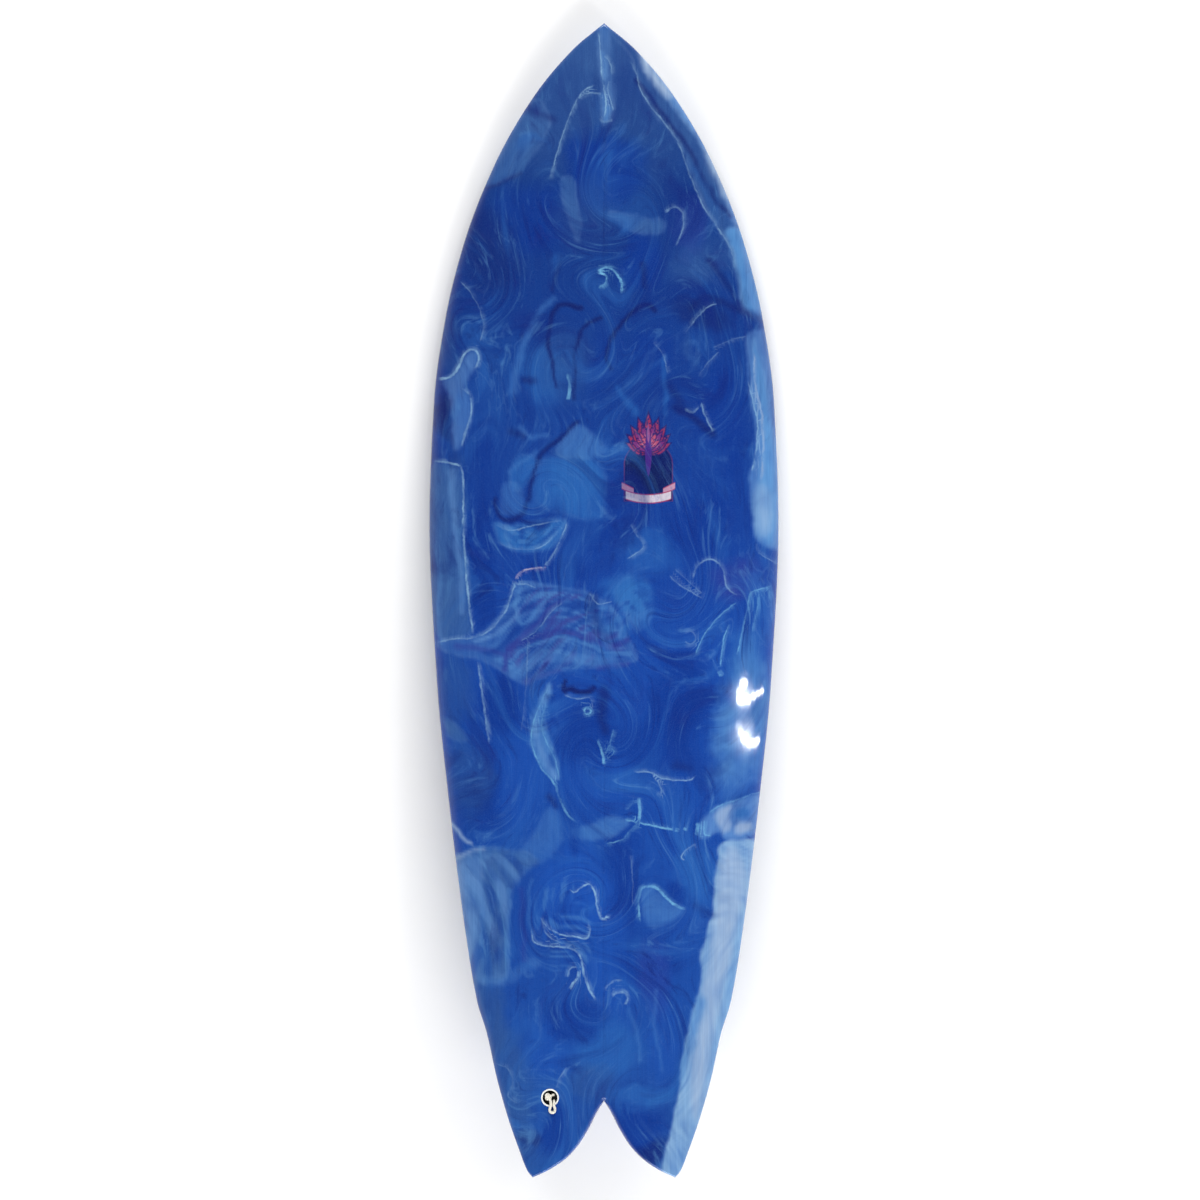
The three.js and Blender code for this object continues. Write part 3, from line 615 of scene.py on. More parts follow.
# Soft clouds: colour, opacity, middle x and y, half-lengths, turn in degrees.
WASHES = [
    # The first cloud, pale mist along the starboard rail round the two bright crescents, is partly paler
    # resin and partly painted highlight: the soft glow round the rail's reflections is painted into the
    # colour here.
    ("mist", 0.75, 210, 690, 40, 125, -6),
    ("ink", 0.25, -258, 940, 14, 130, 0),
    ("steel", 0.75, -4, 1694, 67, 45, 0),
    ("steel", 0.45, -64, 1597, 67, 90, -30),
    ("steel", 0.35, 55, 1567, 75, 90, 20),
    ("deep", 0.8, 0, 1507, 60, 57, 0),
    ("deep", 0.6, -109, 1440, 67, 57, 0),
    ("steel", 0.35, -27, 1440, 45, 60, 0),
    ("ink", 0.3, -169, 1387, 45, 67, 15),
    ("steel", 0.5, 145, 1369, 57, 30, 15),
    ("deep", 0.65, 55, 1365, 33, 45, 0),
    ("ink", 0.35, 145, 1295, 52, 21, -10),
    ("deep", 0.7, 178, 1118, 39, 112, 0),
    ("deep", 0.6, 70, 1238, 37, 37, 0),
    ("cyan", 0.45, -94, 1208, 30, 45, 10),
    ("deep", 0.5, -4, 1223, 33, 42, 0),
    ("steel", 0.35, -57, 1223, 42, 60, 0),
    ("deep", 0.55, -184, 1133, 21, 90, 0),
    ("deep", 0.8, -187, 923, 21, 105, 0),
    ("purple", 0.3, 130, 1425, 30, 45, 0),
    ("steel", 0.45, -235, 1268, 21, 75, 8),
    ("ink", 0.55, -232, 1145, 18, 45, 0),
    ("steel", 0.55, -235, 1013, 21, 67, 0),
    ("steel", 0.5, -233, 879, 19, 75, 0),
    ("cyan", 0.4, -42, 1043, 42, 60, 0),
    ("mist", 0.55, 40, 862, 26, 40, -10),
    ("cyan", 0.5, 34, 880, 36, 30, 20),
    ("cyan", 0.35, 70, 946, 45, 33, 0),
    ("deep", 0.6, -4, 983, 33, 37, 0),
    ("deep", 0.6, 145, 983, 52, 52, 0),
    ("purple", 0.55, 205, 901, 42, 33, -15),
    ("deep", 0.5, -64, 916, 52, 18, 0),
    ("deep", 0.75, -154, 714, 33, 42, 0),
    ("steel", 0.35, -222, 729, 27, 67, 0),
    ("deep", 0.7, 115, 714, 48, 63, 0),
    ("cyan", 0.25, 205, 774, 33, 45, 0),
    ("deep", 0.6, -19, 662, 42, 60, 0),
    ("deep", 0.55, -184, 564, 52, 60, 0),
    ("steel", 0.4, -199, 594, 33, 60, 0),
    ("bright", 0.55, -124, 594, 37, 75, 0),
    ("deep", 0.5, 85, 639, 67, 52, 0),
    ("bright", 0.4, -4, 594, 52, 37, 0),
    ("bright", 0.75, -42, 430, 63, 72, 0),
    ("deep", 0.6, 33, 430, 30, 90, 0),
    ("bright", 0.5, 13, 325, 37, 90, 0),
    ("deep", 0.6, 103, 430, 21, 21, 0),
    ("cyan", 0.4, 138, 459, 27, 52, 0),
    ("deep", 0.35, 70, 325, 52, 52, 0),
    ("purple", 0.35, 78, 302, 24, 60, 0),
    ("steel", 0.5, -177, 250, 33, 75, 10),
    ("steel", 0.45, -147, 160, 37, 75, 10),
    ("cyan", 0.4, -4, 190, 60, 48, 0),
    ("bright", 0.4, -87, 190, 37, 52, 0),
    ("deep", 0.55, -42, 235, 37, 37, 0),
    ("deep", 0.6, -72, 70, 36, 45, 20),
    ("steel", 0.4, -129, 78, 21, 60, 15),
    ("ink", 0.4, -117, 63, 21, 15, 0),
    ("deep", 0.7, 55, 70, 48, 39, -20),
    ("ink", 0.45, 70, 40, 37, 18, 25),
    ("cyan", 0.3, 55, 115, 52, 18, 0),
    ("steel", 0.35, -22, 138, 37, 30, 0),
    ("bright", 0.3, 85, 205, 30, 75, 0),
]
SHEETS = [
    ("slate", 0.8, 9, [
        (-94, 1615), (-76, 1579), (-109, 1530), (-129, 1504), (-151, 1495), (-175, 1486), (-187, 1477),
        (-147, 1567), (-117, 1604),
    ]),
    ("pale", 0.42, 7, [
        (-8, 1722), (3, 1725), (12, 1698), (10, 1652), (16, 1602), (7, 1576), (-7, 1578), (-2, 1640),
        (-10, 1698),
    ]),
    ("mist", 0.6, 4, [(-4, 1690), (4, 1686), (8, 1660), (2, 1640), (-3, 1655), (-1, 1672)]),
    ("mist", 0.65, 3, [(-4, 1598), (6, 1604), (13, 1598), (6, 1590), (8, 1580), (-4, 1583), (1, 1591)]),
    ("steel", 0.85, 5, [
        (1, 1723), (34, 1690), (51, 1649), (57, 1624), (70, 1603), (94, 1573), (114, 1545),
        (129, 1504), (148, 1456), (172, 1422), (192, 1387), (201, 1350), (204, 1313), (213, 1289),
        (257, 1289), (235, 1432), (175, 1552), (100, 1657), (40, 1717),
    ]),
    ("pale", 0.92, 6, [
        (67, 1663), (82, 1639), (103, 1606), (127, 1570), (148, 1537), (169, 1489), (190, 1444),
        (208, 1402), (242, 1402), (205, 1522), (145, 1619), (85, 1679),
    ]),
    ("sky", 0.85, 5, [
        (178, 1420), (195, 1390), (204, 1358), (207, 1316), (217, 1292), (253, 1292), (238, 1387),
        (213, 1425),
    ]),
    ("haze", 0.95, 8, [(48, 1682), (62, 1680), (85, 1648), (102, 1620), (91, 1620), (70, 1640)]),
    ("haze", 0.8, 10, [
        (148, 1543), (160, 1540), (174, 1516), (184, 1486), (187, 1462), (175, 1474), (162, 1498),
        (153, 1522),
    ]),
    ("slate", 0.75, 5, [
        (-67, 1498), (-43, 1498), (-40, 1459), (-31, 1425), (-42, 1396), (-49, 1432), (-61, 1471),
    ]),
    ("slate", 0.8, 7, [
        (0, 1449), (34, 1443), (67, 1441), (90, 1434), (88, 1417), (67, 1413), (34, 1423),
    ]),
    ("pale", 0.62, 4, [
        (213, 1274), (214, 1245), (216, 1193), (222, 1166), (229, 1133), (227, 1096), (220, 1066),
        (217, 1028), (222, 995), (227, 961), (238, 949), (280, 935), (280, 1274),
    ]),
    ("sky", 0.8, 9, [
        (230, 1163), (235, 1118), (230, 1058), (223, 1013), (229, 968), (241, 950), (262, 946),
        (262, 1058), (250, 1163), (230, 1253), (223, 1260), (226, 1208),
    ]),
    ("haze", 0.55, 12, [(230, 1043), (244, 1036), (253, 998), (247, 956), (232, 968), (226, 1006)]),
    ("pale", 0.62, 6, [
        (-247, 1196), (-226, 1200), (-213, 1223), (-205, 1238), (-190, 1241), (-187, 1226),
        (-199, 1205), (-213, 1184), (-199, 1166), (-198, 1145), (-207, 1118), (-216, 1094),
        (-229, 1091), (-226, 1163),
    ]),
    ("slate", 0.75, 5, [
        (-266, 1076), (-232, 1072), (-213, 1064), (-210, 983), (-207, 923), (-199, 849), (-193, 810),
        (-266, 804),
    ]),
    ("mist", 0.6, 6, [
        (-37, 1134), (-16, 1115), (7, 1094), (-22, 1079), (-55, 1078), (-76, 1094), (-58, 1115),
    ]),
    ("cyan", 0.6, 8, [
        (-100, 1073), (-76, 1088), (1, 1079), (1, 1013), (-4, 983), (-64, 995), (-106, 1006),
    ]),
    ("cyan", 0.65, 7, [
        (-136, 1085), (-109, 1088), (-94, 1076), (-106, 1052), (-124, 1025), (-144, 1034),
    ]),
    ("mist", 0.45, 6, [
        (-153, 1037), (-136, 1043), (-117, 1028), (-118, 998), (-136, 989), (-154, 1001),
    ]),
    ("cyan", 0.85, 5, [
        (-163, 983), (-139, 977), (-103, 985), (-54, 991), (-61, 965), (-85, 940), (-124, 937),
        (-154, 946), (-163, 965),
    ]),
    ("cyan", 0.35, 12, [(13, 886), (37, 903), (70, 894), (73, 849), (55, 819), (37, 837), (22, 861)]),
    ("fold", 0.9, 4, [
        (-251, 807), (-227, 810), (-193, 811), (-169, 823), (-147, 852), (-135, 888), (-111, 894),
        (-72, 888), (-49, 885), (-25, 876), (6, 861), (28, 828), (39, 804), (52, 789), (48, 771),
        (-9, 765), (-64, 765), (-88, 753), (-111, 742), (-127, 742), (-147, 756), (-181, 775),
        (-220, 786), (-251, 796),
    ]),
    ("slate", 0.7, 5, [(-239, 693), (-226, 681), (-204, 657), (-211, 653), (-235, 654)]),
    ("mist", 0.85, 4, [
        (-79, 745), (-85, 717), (-90, 681), (-78, 651), (-69, 618), (-70, 594), (-90, 609),
        (-106, 636), (-111, 672), (-105, 705), (-91, 732),
    ]),
    ("mist", 0.45, 8, [
        (-85, 558), (-63, 546), (-58, 519), (-70, 489), (-100, 473), (-130, 456), (-147, 436),
        (-148, 456), (-124, 495), (-100, 525),
    ]),
    ("mist", 0.6, 5, [
        (-46, 525), (-25, 531), (-6, 540), (13, 545), (39, 537), (28, 522), (6, 510), (-25, 509),
        (-46, 510),
    ]),
    ("slate", 0.85, 7, [
        (-226, 486), (-211, 486), (-199, 494), (-154, 495), (-94, 480), (-121, 462), (-142, 427),
        (-144, 355), (-144, 302), (-157, 292), (-187, 292), (-205, 280), (-244, 370),
    ]),
    ("pale", 0.6, 10, [
        (-229, 474), (-205, 486), (-181, 471), (-187, 415), (-184, 340), (-193, 295), (-211, 302),
        (-226, 400),
    ]),
    ("pale", 0.75, 5, [
        (141, 534), (156, 548), (175, 560), (199, 566), (241, 579), (241, 528), (223, 510), (199, 506),
        (183, 506), (169, 522), (153, 509), (141, 510),
    ]),
    ("haze", 0.7, 5, [
        (163, 546), (178, 557), (193, 560), (187, 543), (190, 525), (178, 516), (169, 531),
    ]),
    ("haze", 0.75, 5, [(195, 531), (211, 534), (226, 528), (214, 516), (196, 513)]),
    ("cyan", 0.7, 5, [(196, 555), (217, 558), (223, 540), (208, 537), (195, 540)]),
    ("frost", 0.92, 3.0, [
        (193, 506), (169, 500), (171, 473), (165, 434), (163, 395), (156, 377), (150, 350), (144, 331),
        (147, 313), (147, 284), (136, 268), (132, 238), (127, 205), (118, 163), (108, 121), (102, 75),
        (90, 33), (82, -12), (145, -19), (250, 265), (250, 507),
    ]),
    ("haze", 0.7, 9, [
        (178, 489), (199, 497), (214, 459), (202, 400), (187, 325), (168, 250), (157, 175), (145, 100),
        (130, 85), (133, 175), (141, 250), (160, 325), (169, 415),
    ]),
    ("sky", 0.6, 9, [
        (202, 370), (223, 415), (217, 340), (199, 265), (184, 220), (172, 145), (157, 85), (163, 160),
        (178, 250),
    ]),
    ("mist", 0.6, 7, [
        (54, 433), (66, 439), (85, 433), (100, 416), (121, 403), (112, 388), (88, 376), (63, 377),
    ]),
    ("mist", 0.45, 8, [
        (-192, 304), (-160, 299), (-130, 310), (-115, 329), (-93, 323), (-97, 313), (-118, 310),
        (-136, 289), (-169, 287), (-190, 290),
    ]),
]
RIBBONS = [
    ("mist", 0.5, 3.0, 6.7, 5, [(-72, 1320), (-96, 1296), (-115, 1259), (-130, 1215), (-138, 1176)]),
    ("cyan", 0.55, 2.2, 6.0, 5, [(21, 1184), (33, 1166), (46, 1146)]),
    ("ink", 0.8, 3.7, 1.5, 3, [
        (-34, 1305), (-55, 1311), (-72, 1301), (-82, 1274), (-84, 1247), (-76, 1214), (-69, 1187),
    ]),
    ("ink", 0.8, 3.0, 1.5, 3, [
        (-4, 1287), (-25, 1278), (-39, 1259), (-46, 1235), (-43, 1208), (-46, 1169),
    ]),
    ("ink", 0.8, 3.7, 1.5, 3, [
        (76, 1301), (64, 1310), (45, 1298), (25, 1278), (9, 1254), (6, 1232), (13, 1211),
    ]),
    ("ink", 0.6, 3.7, 3.0, 5, [(61, 1369), (60, 1337)]),
    ("ink", 0.5, 2.2, 2.2, 5, [(-66, 1380), (-70, 1355), (-76, 1331)]),
    ("ink", 0.7, 3.0, 2.2, 3, [
        (-40, 1134), (-64, 1114), (-91, 1090), (-103, 1064), (-109, 1028), (-111, 1013), (-123, 992),
        (-144, 986), (-159, 995), (-162, 1016),
    ]),
    ("mist", 0.5, 3.7, 2.2, 4, [(-3, 1618), (0, 1600), (-1, 1582)]),
    ("ink", 0.6, 3.0, 3.0, 4, [
        (49, 1642), (69, 1618), (97, 1579), (124, 1540), (144, 1497), (171, 1458), (193, 1440),
    ]),
    ("ink", 0.55, 7.5, 3.0, 6, [(265, 1286), (223, 1295), (187, 1310), (153, 1319), (130, 1301)]),
    ("ink", 0.5, 4.5, 2.2, 5, [(157, 1375), (178, 1349), (202, 1313)]),
    ("ink", 0.55, 2.2, 2.2, 4, [(-175, 1485), (-147, 1494), (-127, 1504)]),
    ("ink", 0.45, 6.0, 3.0, 7, [(-115, 1600), (-76, 1582)]),
    ("ink", 0.6, 5.2, 5.2, 5, [(109, 1155), (130, 1145), (163, 1115)]),
    ("ink", 0.45, 6.0, 4.5, 8, [(100, 1185), (118, 1160)]),
    ("ink", 0.55, 4.5, 4.5, 6, [(-118, 1196), (-106, 1194)]),
    ("ink", 0.5, 5.2, 4.5, 6, [(-139, 1118), (-124, 1112)]),
    ("cyan", 0.55, 3.0, 3.0, 4, [(91, 1230), (94, 1185), (91, 1145)]),
    ("purple", 0.75, 4.5, 3.0, 3, [(-142, 792), (-115, 817), (-84, 852), (-55, 876)]),
    ("purple", 0.7, 3.0, 4.5, 3, [
        (-150, 762), (-144, 786), (-127, 798), (-94, 814), (-57, 820), (-25, 807), (13, 796),
        (34, 808),
    ]),
    ("mist", 0.75, 2.2, 2.2, 3, [
        (-139, 774), (-121, 792), (-91, 804), (-58, 810), (-28, 799), (4, 786), (40, 786),
    ]),
    ("ink", 0.35, 9.0, 6.0, 6, [(-19, 864), (-13, 834), (1, 807)]),
    ("pale", 0.55, 5.0, 3.5, 4, [(-228, 1060), (-222, 990), (-217, 920), (-212, 850)]),
    ("pale", 0.6, 3.0, 5.0, 4, [(-84, 736), (-97, 700), (-102, 668), (-92, 632), (-76, 604)]),
    ("pale", 0.6, 2.5, 4.0, 3, [(206, 1400), (216, 1362), (220, 1325), (232, 1300)]),
    ("mist", 0.7, 3.0, 3.0, 3, [(-127, 879), (-133, 855), (-124, 831), (-103, 849), (-82, 873)]),
    ("pale", 0.6, 3.0, 2.2, 3, [(-193, 804), (-166, 813), (-142, 834), (-127, 855)]),
    ("mist", 0.7, 2.2, 2.2, 3, [(10, 855), (25, 831), (22, 813)]),
    ("purple", 0.5, 3.7, 3.0, 4, [(-222, 799), (-169, 789), (-139, 780)]),
    ("mist", 0.6, 7.5, 6.0, 6, [(-136, 756), (-94, 780), (-42, 780), (10, 777)]),
    ("plum", 0.5, 3.7, 3.7, 4, [(-117, 745), (-94, 753), (-70, 762)]),
    ("plum", 0.5, 3.7, 3.7, 4, [(-10, 763), (37, 769)]),
    ("ink", 0.85, 3.0, 3.7, 2.5, [
        (-58, 745), (-61, 730), (-49, 735), (-39, 729), (-25, 727), (-15, 733),
    ]),
    ("ink", 0.5, 7.5, 4.5, 7, [(1, 729), (-3, 690), (4, 666)]),
    ("ink", 0.5, 4.5, 3.7, 6, [(-82, 572), (-70, 558)]),
    ("ink", 0.4, 6.0, 3.7, 7, [(108, 621), (130, 615)]),
    ("deep", 0.6, 6.0, 6.0, 6, [(-64, 564), (-42, 527), (-43, 489)]),
    ("mist", 0.55, 2.2, 1.5, 3, [(-142, 433), (-144, 377), (-144, 307)]),
    ("mist", 0.45, 2.2, 1.5, 3, [(-109, 445), (-114, 407), (-111, 370)]),
    ("purple", 0.5, 3.0, 3.0, 5, [(-123, 430), (-123, 370), (-120, 325)]),
    ("haze", 0.75, 3.0, 2.2, 3, [(-229, 528), (-217, 516), (-199, 500)]),
    ("haze", 0.6, 2.2, 2.2, 4, [(-226, 477), (-205, 489), (-184, 492)]),
    ("mist", 0.4, 2.2, 2.2, 4, [(39, 254), (49, 226), (51, 172)]),
    ("mist", 0.4, 2.2, 2.2, 4, [(79, 280), (79, 220), (88, 160)]),
    ("ink", 0.35, 4.5, 4.5, 8, [(138, 407), (163, 392)]),
    ("sky", 0.35, 3.0, 2.2, 3, [(-250, 923), (-248, 864), (-244, 804)]),
    ("mist", 0.5, 3.0, 3.0, 4, [(-127, 1123), (-112, 1109), (-87, 1114)]),
    ("mist", 0.45, 3.0, 2.2, 4, [(-103, 1091), (-124, 1076), (-142, 1058)]),
    ("cyan", 0.5, 6.7, 4.5, 8, [(145, 265), (130, 190), (103, 130), (70, 115)]),
]
LINES = [
    ("ink", 0.5, 0.8, 0.8, [(1, 1565), (1, 1500), (1, 1440), (1, 1375)]),
    ("ink", 0.35, 0.8, 0.8, [(1, 640), (1, 560), (1, 470)]),
    ("ink", 0.35, 1.0, 1.0, [(1, 330), (1, 260), (1, 180)]),
    ("white", 0.7, 1.1, 1.3, [
        (-9, 1714), (-6, 1693), (-4, 1672), (-3, 1648), (1, 1624), (3, 1603), (0, 1585),
    ]),
    ("white", 0.55, 1.0, 1.3, [(0, 1678), (9, 1669), (12, 1651)]),
    ("white", 0.5, 1.3, 0.9, [(7, 1642), (6, 1624), (12, 1606), (13, 1597)]),
    ("white", 0.5, 1.9, 1.9, [(-7, 1585), (-1, 1581), (13, 1584)]),
    ("white", 0.5, 1.6, 1.0, [(-4, 1622), (-19, 1624), (-30, 1621), (-39, 1615)]),
    ("white", 0.6, 1.2, 0.9, [
        (-13, 1636), (-28, 1628), (-39, 1616), (-48, 1597), (-57, 1575), (-67, 1545), (-75, 1518),
        (-82, 1494),
    ]),
    ("white", 0.5, 1.1, 1.6, [
        (37, 1675), (48, 1654), (54, 1630), (70, 1604), (93, 1576), (112, 1548), (127, 1506),
        (147, 1459), (171, 1423), (190, 1392), (198, 1355),
    ]),
    ("white", 0.45, 1.9, 1.1, [(91, 1446), (105, 1455), (118, 1444), (118, 1423), (108, 1396)]),
    ("glow", 0.95, 1.4, 2.4, [(-11, 1358), (4, 1365), (18, 1356), (27, 1338), (26, 1326)]),
    ("glow", 0.95, 2.2, 1.2, [(-9, 1358), (4, 1351), (2, 1340), (-8, 1334)]),
    ("white", 0.35, 1.1, 1.1, [(-216, 1344), (-201, 1329), (-186, 1301), (-180, 1274), (-186, 1253)]),
    ("white", 0.8, 2.2, 1.6, [
        (-250, 1197), (-229, 1202), (-216, 1221), (-207, 1238), (-193, 1241), (-187, 1227),
        (-193, 1212),
    ]),
    ("white", 0.65, 1.6, 1.9, [(-213, 1184), (-201, 1172), (-199, 1148), (-207, 1121), (-214, 1096)]),
    ("white", 0.7, 1.6, 1.8, [
        (-259, 1076), (-232, 1072), (-214, 1064), (-211, 1031), (-211, 983), (-208, 923), (-201, 849),
        (-195, 813),
    ]),
    ("glow", 0.6, 1.6, 3.0, [(-55, 1205), (-51, 1187), (-54, 1166)]),
    ("white", 0.45, 1.0, 1.0, [(73, 1253), (88, 1235), (96, 1205)]),
    ("white", 0.5, 1.0, 1.3, [(121, 1265), (136, 1286), (154, 1304), (169, 1310)]),
    ("white", 0.4, 1.2, 0.9, [(213, 1262), (193, 1257), (163, 1245)]),
    ("white", 0.35, 0.9, 0.9, [(172, 1238), (154, 1220), (142, 1202)]),
    ("white", 0.6, 1.5, 1.2, [(145, 1163), (151, 1145), (163, 1118)]),
    ("white", 0.45, 2.2, 1.5, [(121, 1152), (133, 1148), (142, 1157)]),
    ("white", 0.6, 1.2, 1.5, [(216, 1196), (223, 1166), (230, 1133), (229, 1096), (222, 1058)]),
    ("haze", 0.5, 1.5, 2.2, [(226, 1238), (226, 1193), (236, 1148), (239, 1103), (236, 1043)]),
    ("rose", 0.9, 1.2, 1.5, [(-87, 916), (-111, 913), (-127, 907), (-133, 897)]),
    ("white", 0.6, 1.1, 1.3, [(-55, 983), (-70, 946), (-82, 926), (-91, 916)]),
    ("white", 0.45, 1.0, 1.2, [(-162, 980), (-139, 971), (-103, 979), (-64, 986)]),
    ("white", 0.4, 0.9, 1.1, [(-160, 953), (-132, 943), (-94, 946), (-67, 971)]),
    ("white", 0.55, 0.9, 0.9, [(40, 980), (49, 964), (60, 947), (46, 935), (34, 928)]),
    ("white", 0.6, 1.3, 1.6, [
        (-251, 802), (-226, 808), (-193, 811), (-169, 823), (-148, 850), (-136, 882), (-130, 897),
    ]),
    ("white", 0.65, 1.5, 1.8, [(-189, 774), (-183, 729), (-178, 691), (-172, 651)]),
    ("white", 0.25, 1.2, 1.2, [(-114, 810), (-117, 732), (-124, 669)]),
    ("white", 0.5, 1.0, 1.2, [(-135, 888), (-118, 891), (-103, 885)]),
    ("plum", 0.7, 0.9, 1.0, [
        (-154, 756), (-142, 778), (-121, 796), (-87, 810), (-52, 816), (-19, 801),
    ]),
    ("white", 0.45, 0.9, 1.0, [(-126, 804), (-100, 822), (-79, 849), (-61, 864)]),
    ("ink", 0.6, 0.9, 0.9, [(-19, 882), (-28, 864), (-25, 831), (-7, 810), (13, 799)]),
    ("white", 0.5, 0.9, 1.0, [(-22, 876), (-9, 861), (12, 864)]),
    ("white", 0.55, 1.1, 1.1, [(-60, 724), (-40, 718), (-21, 720), (-16, 705)]),
    ("glow", 0.9, 1.3, 1.3, [(-31, 700), (-25, 706), (-19, 700), (-24, 694), (-30, 697)]),
    ("glow", 0.55, 1.2, 1.8, [
        (-81, 741), (-94, 714), (-106, 681), (-108, 651), (-94, 615), (-76, 594), (-67, 570),
        (-55, 546), (-39, 531),
    ]),
    ("glow", 0.45, 1.0, 1.2, [(-87, 714), (-94, 678), (-85, 651), (-72, 624), (-67, 594)]),
    ("glow", 0.8, 1.6, 2.5, [(-10, 657), (-3, 639), (0, 621)]),
    ("glow", 0.7, 1.0, 1.2, [(15, 672), (10, 654), (3, 635), (-1, 624)]),
    ("glow", 0.5, 0.9, 0.9, [(6, 648), (15, 639), (4, 627)]),
    ("white", 0.6, 1.6, 1.0, [
        (43, 609), (63, 609), (75, 606), (87, 599), (112, 596), (130, 597), (138, 603),
    ]),
    ("white", 0.6, 1.0, 1.2, [(73, 605), (81, 593), (87, 576), (79, 578)]),
    ("glow", 0.8, 2.7, 2.4, [(52, 569), (54, 552), (52, 534)]),
    ("glow", 0.5, 1.3, 1.2, [(34, 552), (43, 561), (52, 564)]),
    ("glow", 0.8, 1.3, 1.8, [(31, 537), (52, 533), (79, 527), (111, 521)]),
    ("glow", 0.8, 3.0, 3.0, [(106, 522), (112, 521)]),
    ("glow", 0.5, 1.2, 1.0, [(52, 533), (39, 521), (28, 507), (4, 501)]),
    ("glow", 0.7, 2.2, 2.2, [(120, 524), (124, 522)]),
    ("glow", 0.75, 3.4, 2.6, [(141, 531), (139, 513)]),
    ("glow", 0.6, 1.5, 1.2, [(151, 537), (150, 516), (160, 513)]),
    ("white", 0.6, 1.1, 1.1, [(138, 501), (124, 492), (115, 480), (121, 476)]),
    ("glow", 0.6, 1.5, 1.2, [(241, 579), (217, 573), (199, 566), (178, 560), (157, 548)]),
    ("white", 0.85, 1.2, 1.9, [
        (-52, 433), (-45, 428), (-33, 436), (-21, 440), (-13, 427), (-10, 404), (-3, 388), (4, 392),
        (10, 389),
    ]),
    ("white", 0.8, 1.0, 1.8, [
        (-96, 391), (-85, 376), (-66, 365), (-42, 362), (-25, 359), (-21, 374), (-24, 383),
    ]),
    ("white", 0.75, 1.0, 2.1, [
        (-108, 376), (-105, 353), (-76, 347), (-46, 343), (-34, 329), (-31, 308), (-22, 283),
        (-12, 266),
    ]),
    ("white", 0.45, 1.0, 1.0, [(-94, 385), (-85, 364), (-64, 352), (-43, 349)]),
    ("white", 0.8, 1.5, 2.7, [(-39, 311), (-39, 301), (-48, 289), (-52, 283)]),
    ("white", 0.5, 1.5, 1.2, [(-55, 301), (-51, 314), (-40, 316)]),
    ("white", 0.75, 1.9, 1.6, [(13, 271), (18, 278), (31, 278), (36, 268), (31, 260)]),
    ("white", 0.3, 1.5, 1.5, [(1, 283), (13, 295), (27, 296)]),
    ("white", 0.25, 1.2, 0.9, [(40, 485), (43, 445), (42, 407)]),
    ("glow", 0.75, 1.5, 2.4, [
        (54, 383), (52, 415), (57, 434), (70, 437), (84, 431), (97, 416), (112, 406), (124, 403),
    ]),
    ("white", 0.35, 1.0, 1.2, [(-162, 171), (-144, 163), (-136, 142), (-145, 124), (-130, 112)]),
    ("white", 0.35, 1.5, 1.0, [(-55, 166), (-66, 150), (-72, 135)]),
    ("glow", 0.7, 1.3, 1.1, [(253, 888), (233, 882), (220, 876), (214, 849), (207, 816), (199, 783)]),
    ("glow", 0.6, 1.0, 0.9, [(233, 879), (229, 849), (222, 819)]),
    ("glow", 0.4, 0.9, 0.9, [(250, 886), (248, 867)]),
    ("glow", 0.7, 0.9, 1.5, [(187, 831), (181, 813), (177, 792), (174, 765)]),
    ("glow", 0.75, 3.7, 4.5, [(172, 760), (177, 753)]),
    ("glow", 0.5, 1.2, 1.0, [(199, 864), (172, 841), (150, 814), (136, 783)]),
    ("white", 0.45, 1.6, 1.2, [(132, 898), (141, 919), (160, 928), (178, 914), (184, 886), (201, 873)]),
    ("white", 0.4, 1.0, 0.9, [(97, 903), (118, 886), (153, 867)]),
    ("white", 0.3, 1.0, 1.0, [(106, 913), (127, 894), (151, 873)]),
    ("white", 0.35, 1.0, 1.0, [(121, 816), (130, 820), (138, 810), (130, 799), (121, 805)]),
    ("white", 0.4, 0.9, 0.9, [(227, 952), (232, 938), (250, 926), (262, 920)]),
    ("ink", 0.35, 1.2, 1.2, [(0, 1567), (0, 1477), (-1, 1369)]),
    ("ink", 0.22, 1.2, 1.2, [(-1, 489), (-1, 340), (-1, 172)]),
]



# Stripes that follow a bend: colour, opacity, pitch, outline and the line they run along.
BANDED = [
    ("mist", 0.75, 15, [
        (-190, 808), (-165, 823), (-147, 852), (-135, 888), (-111, 894), (-49, 885), (6, 861), (40, 804),
        (48, 771), (-64, 765), (-111, 742), (-147, 756), (-190, 790),
    ], [(-200, 760), (-150, 775), (-115, 812), (-70, 822), (-25, 806), (20, 800), (70, 815)]),
    ("plum", 0.7, 15, [
        (-150, 812), (-135, 860), (-111, 890), (-49, 882), (6, 858), (36, 804), (44, 775), (-64, 768),
        (-105, 750), (-140, 765),
    ], [(-160, 750), (-135, 790), (-85, 852), (-40, 880), (0, 890)]),
    ("mist", 0.6, 13, [
        (-163, 983), (-139, 977), (-103, 985), (-54, 991), (-61, 965), (-85, 940), (-124, 937), (-154, 946),
    ], [(-170, 960), (-130, 935), (-85, 945), (-50, 985)]),
    ("pale", 0.55, 26, [
        (-232, 480), (-154, 492), (-100, 480), (-140, 430), (-146, 302), (-187, 292), (-208, 285),
    ], [(-235, 480), (-190, 440), (-165, 370), (-170, 290)]),
    ("mist", 0.5, 14, [(-120, 420), (-60, 450), (-20, 420), (-10, 330), (-60, 300), (-110, 330)],
     [(-110, 445), (-112, 380), (-80, 350), (-40, 345), (-15, 300)]),
    ("mist", 0.6, 12, [(-80, 745), (-60, 700), (-70, 594), (-112, 636), (-108, 705)],
     [(-80, 750), (-102, 690), (-92, 640), (-70, 590)]),
    ("cyan", 0.5, 16, [(-30, 880), (40, 900), (75, 890), (75, 840), (30, 800), (-20, 820)],
     [(-30, 830), (5, 870), (45, 885), (80, 860)]),
]


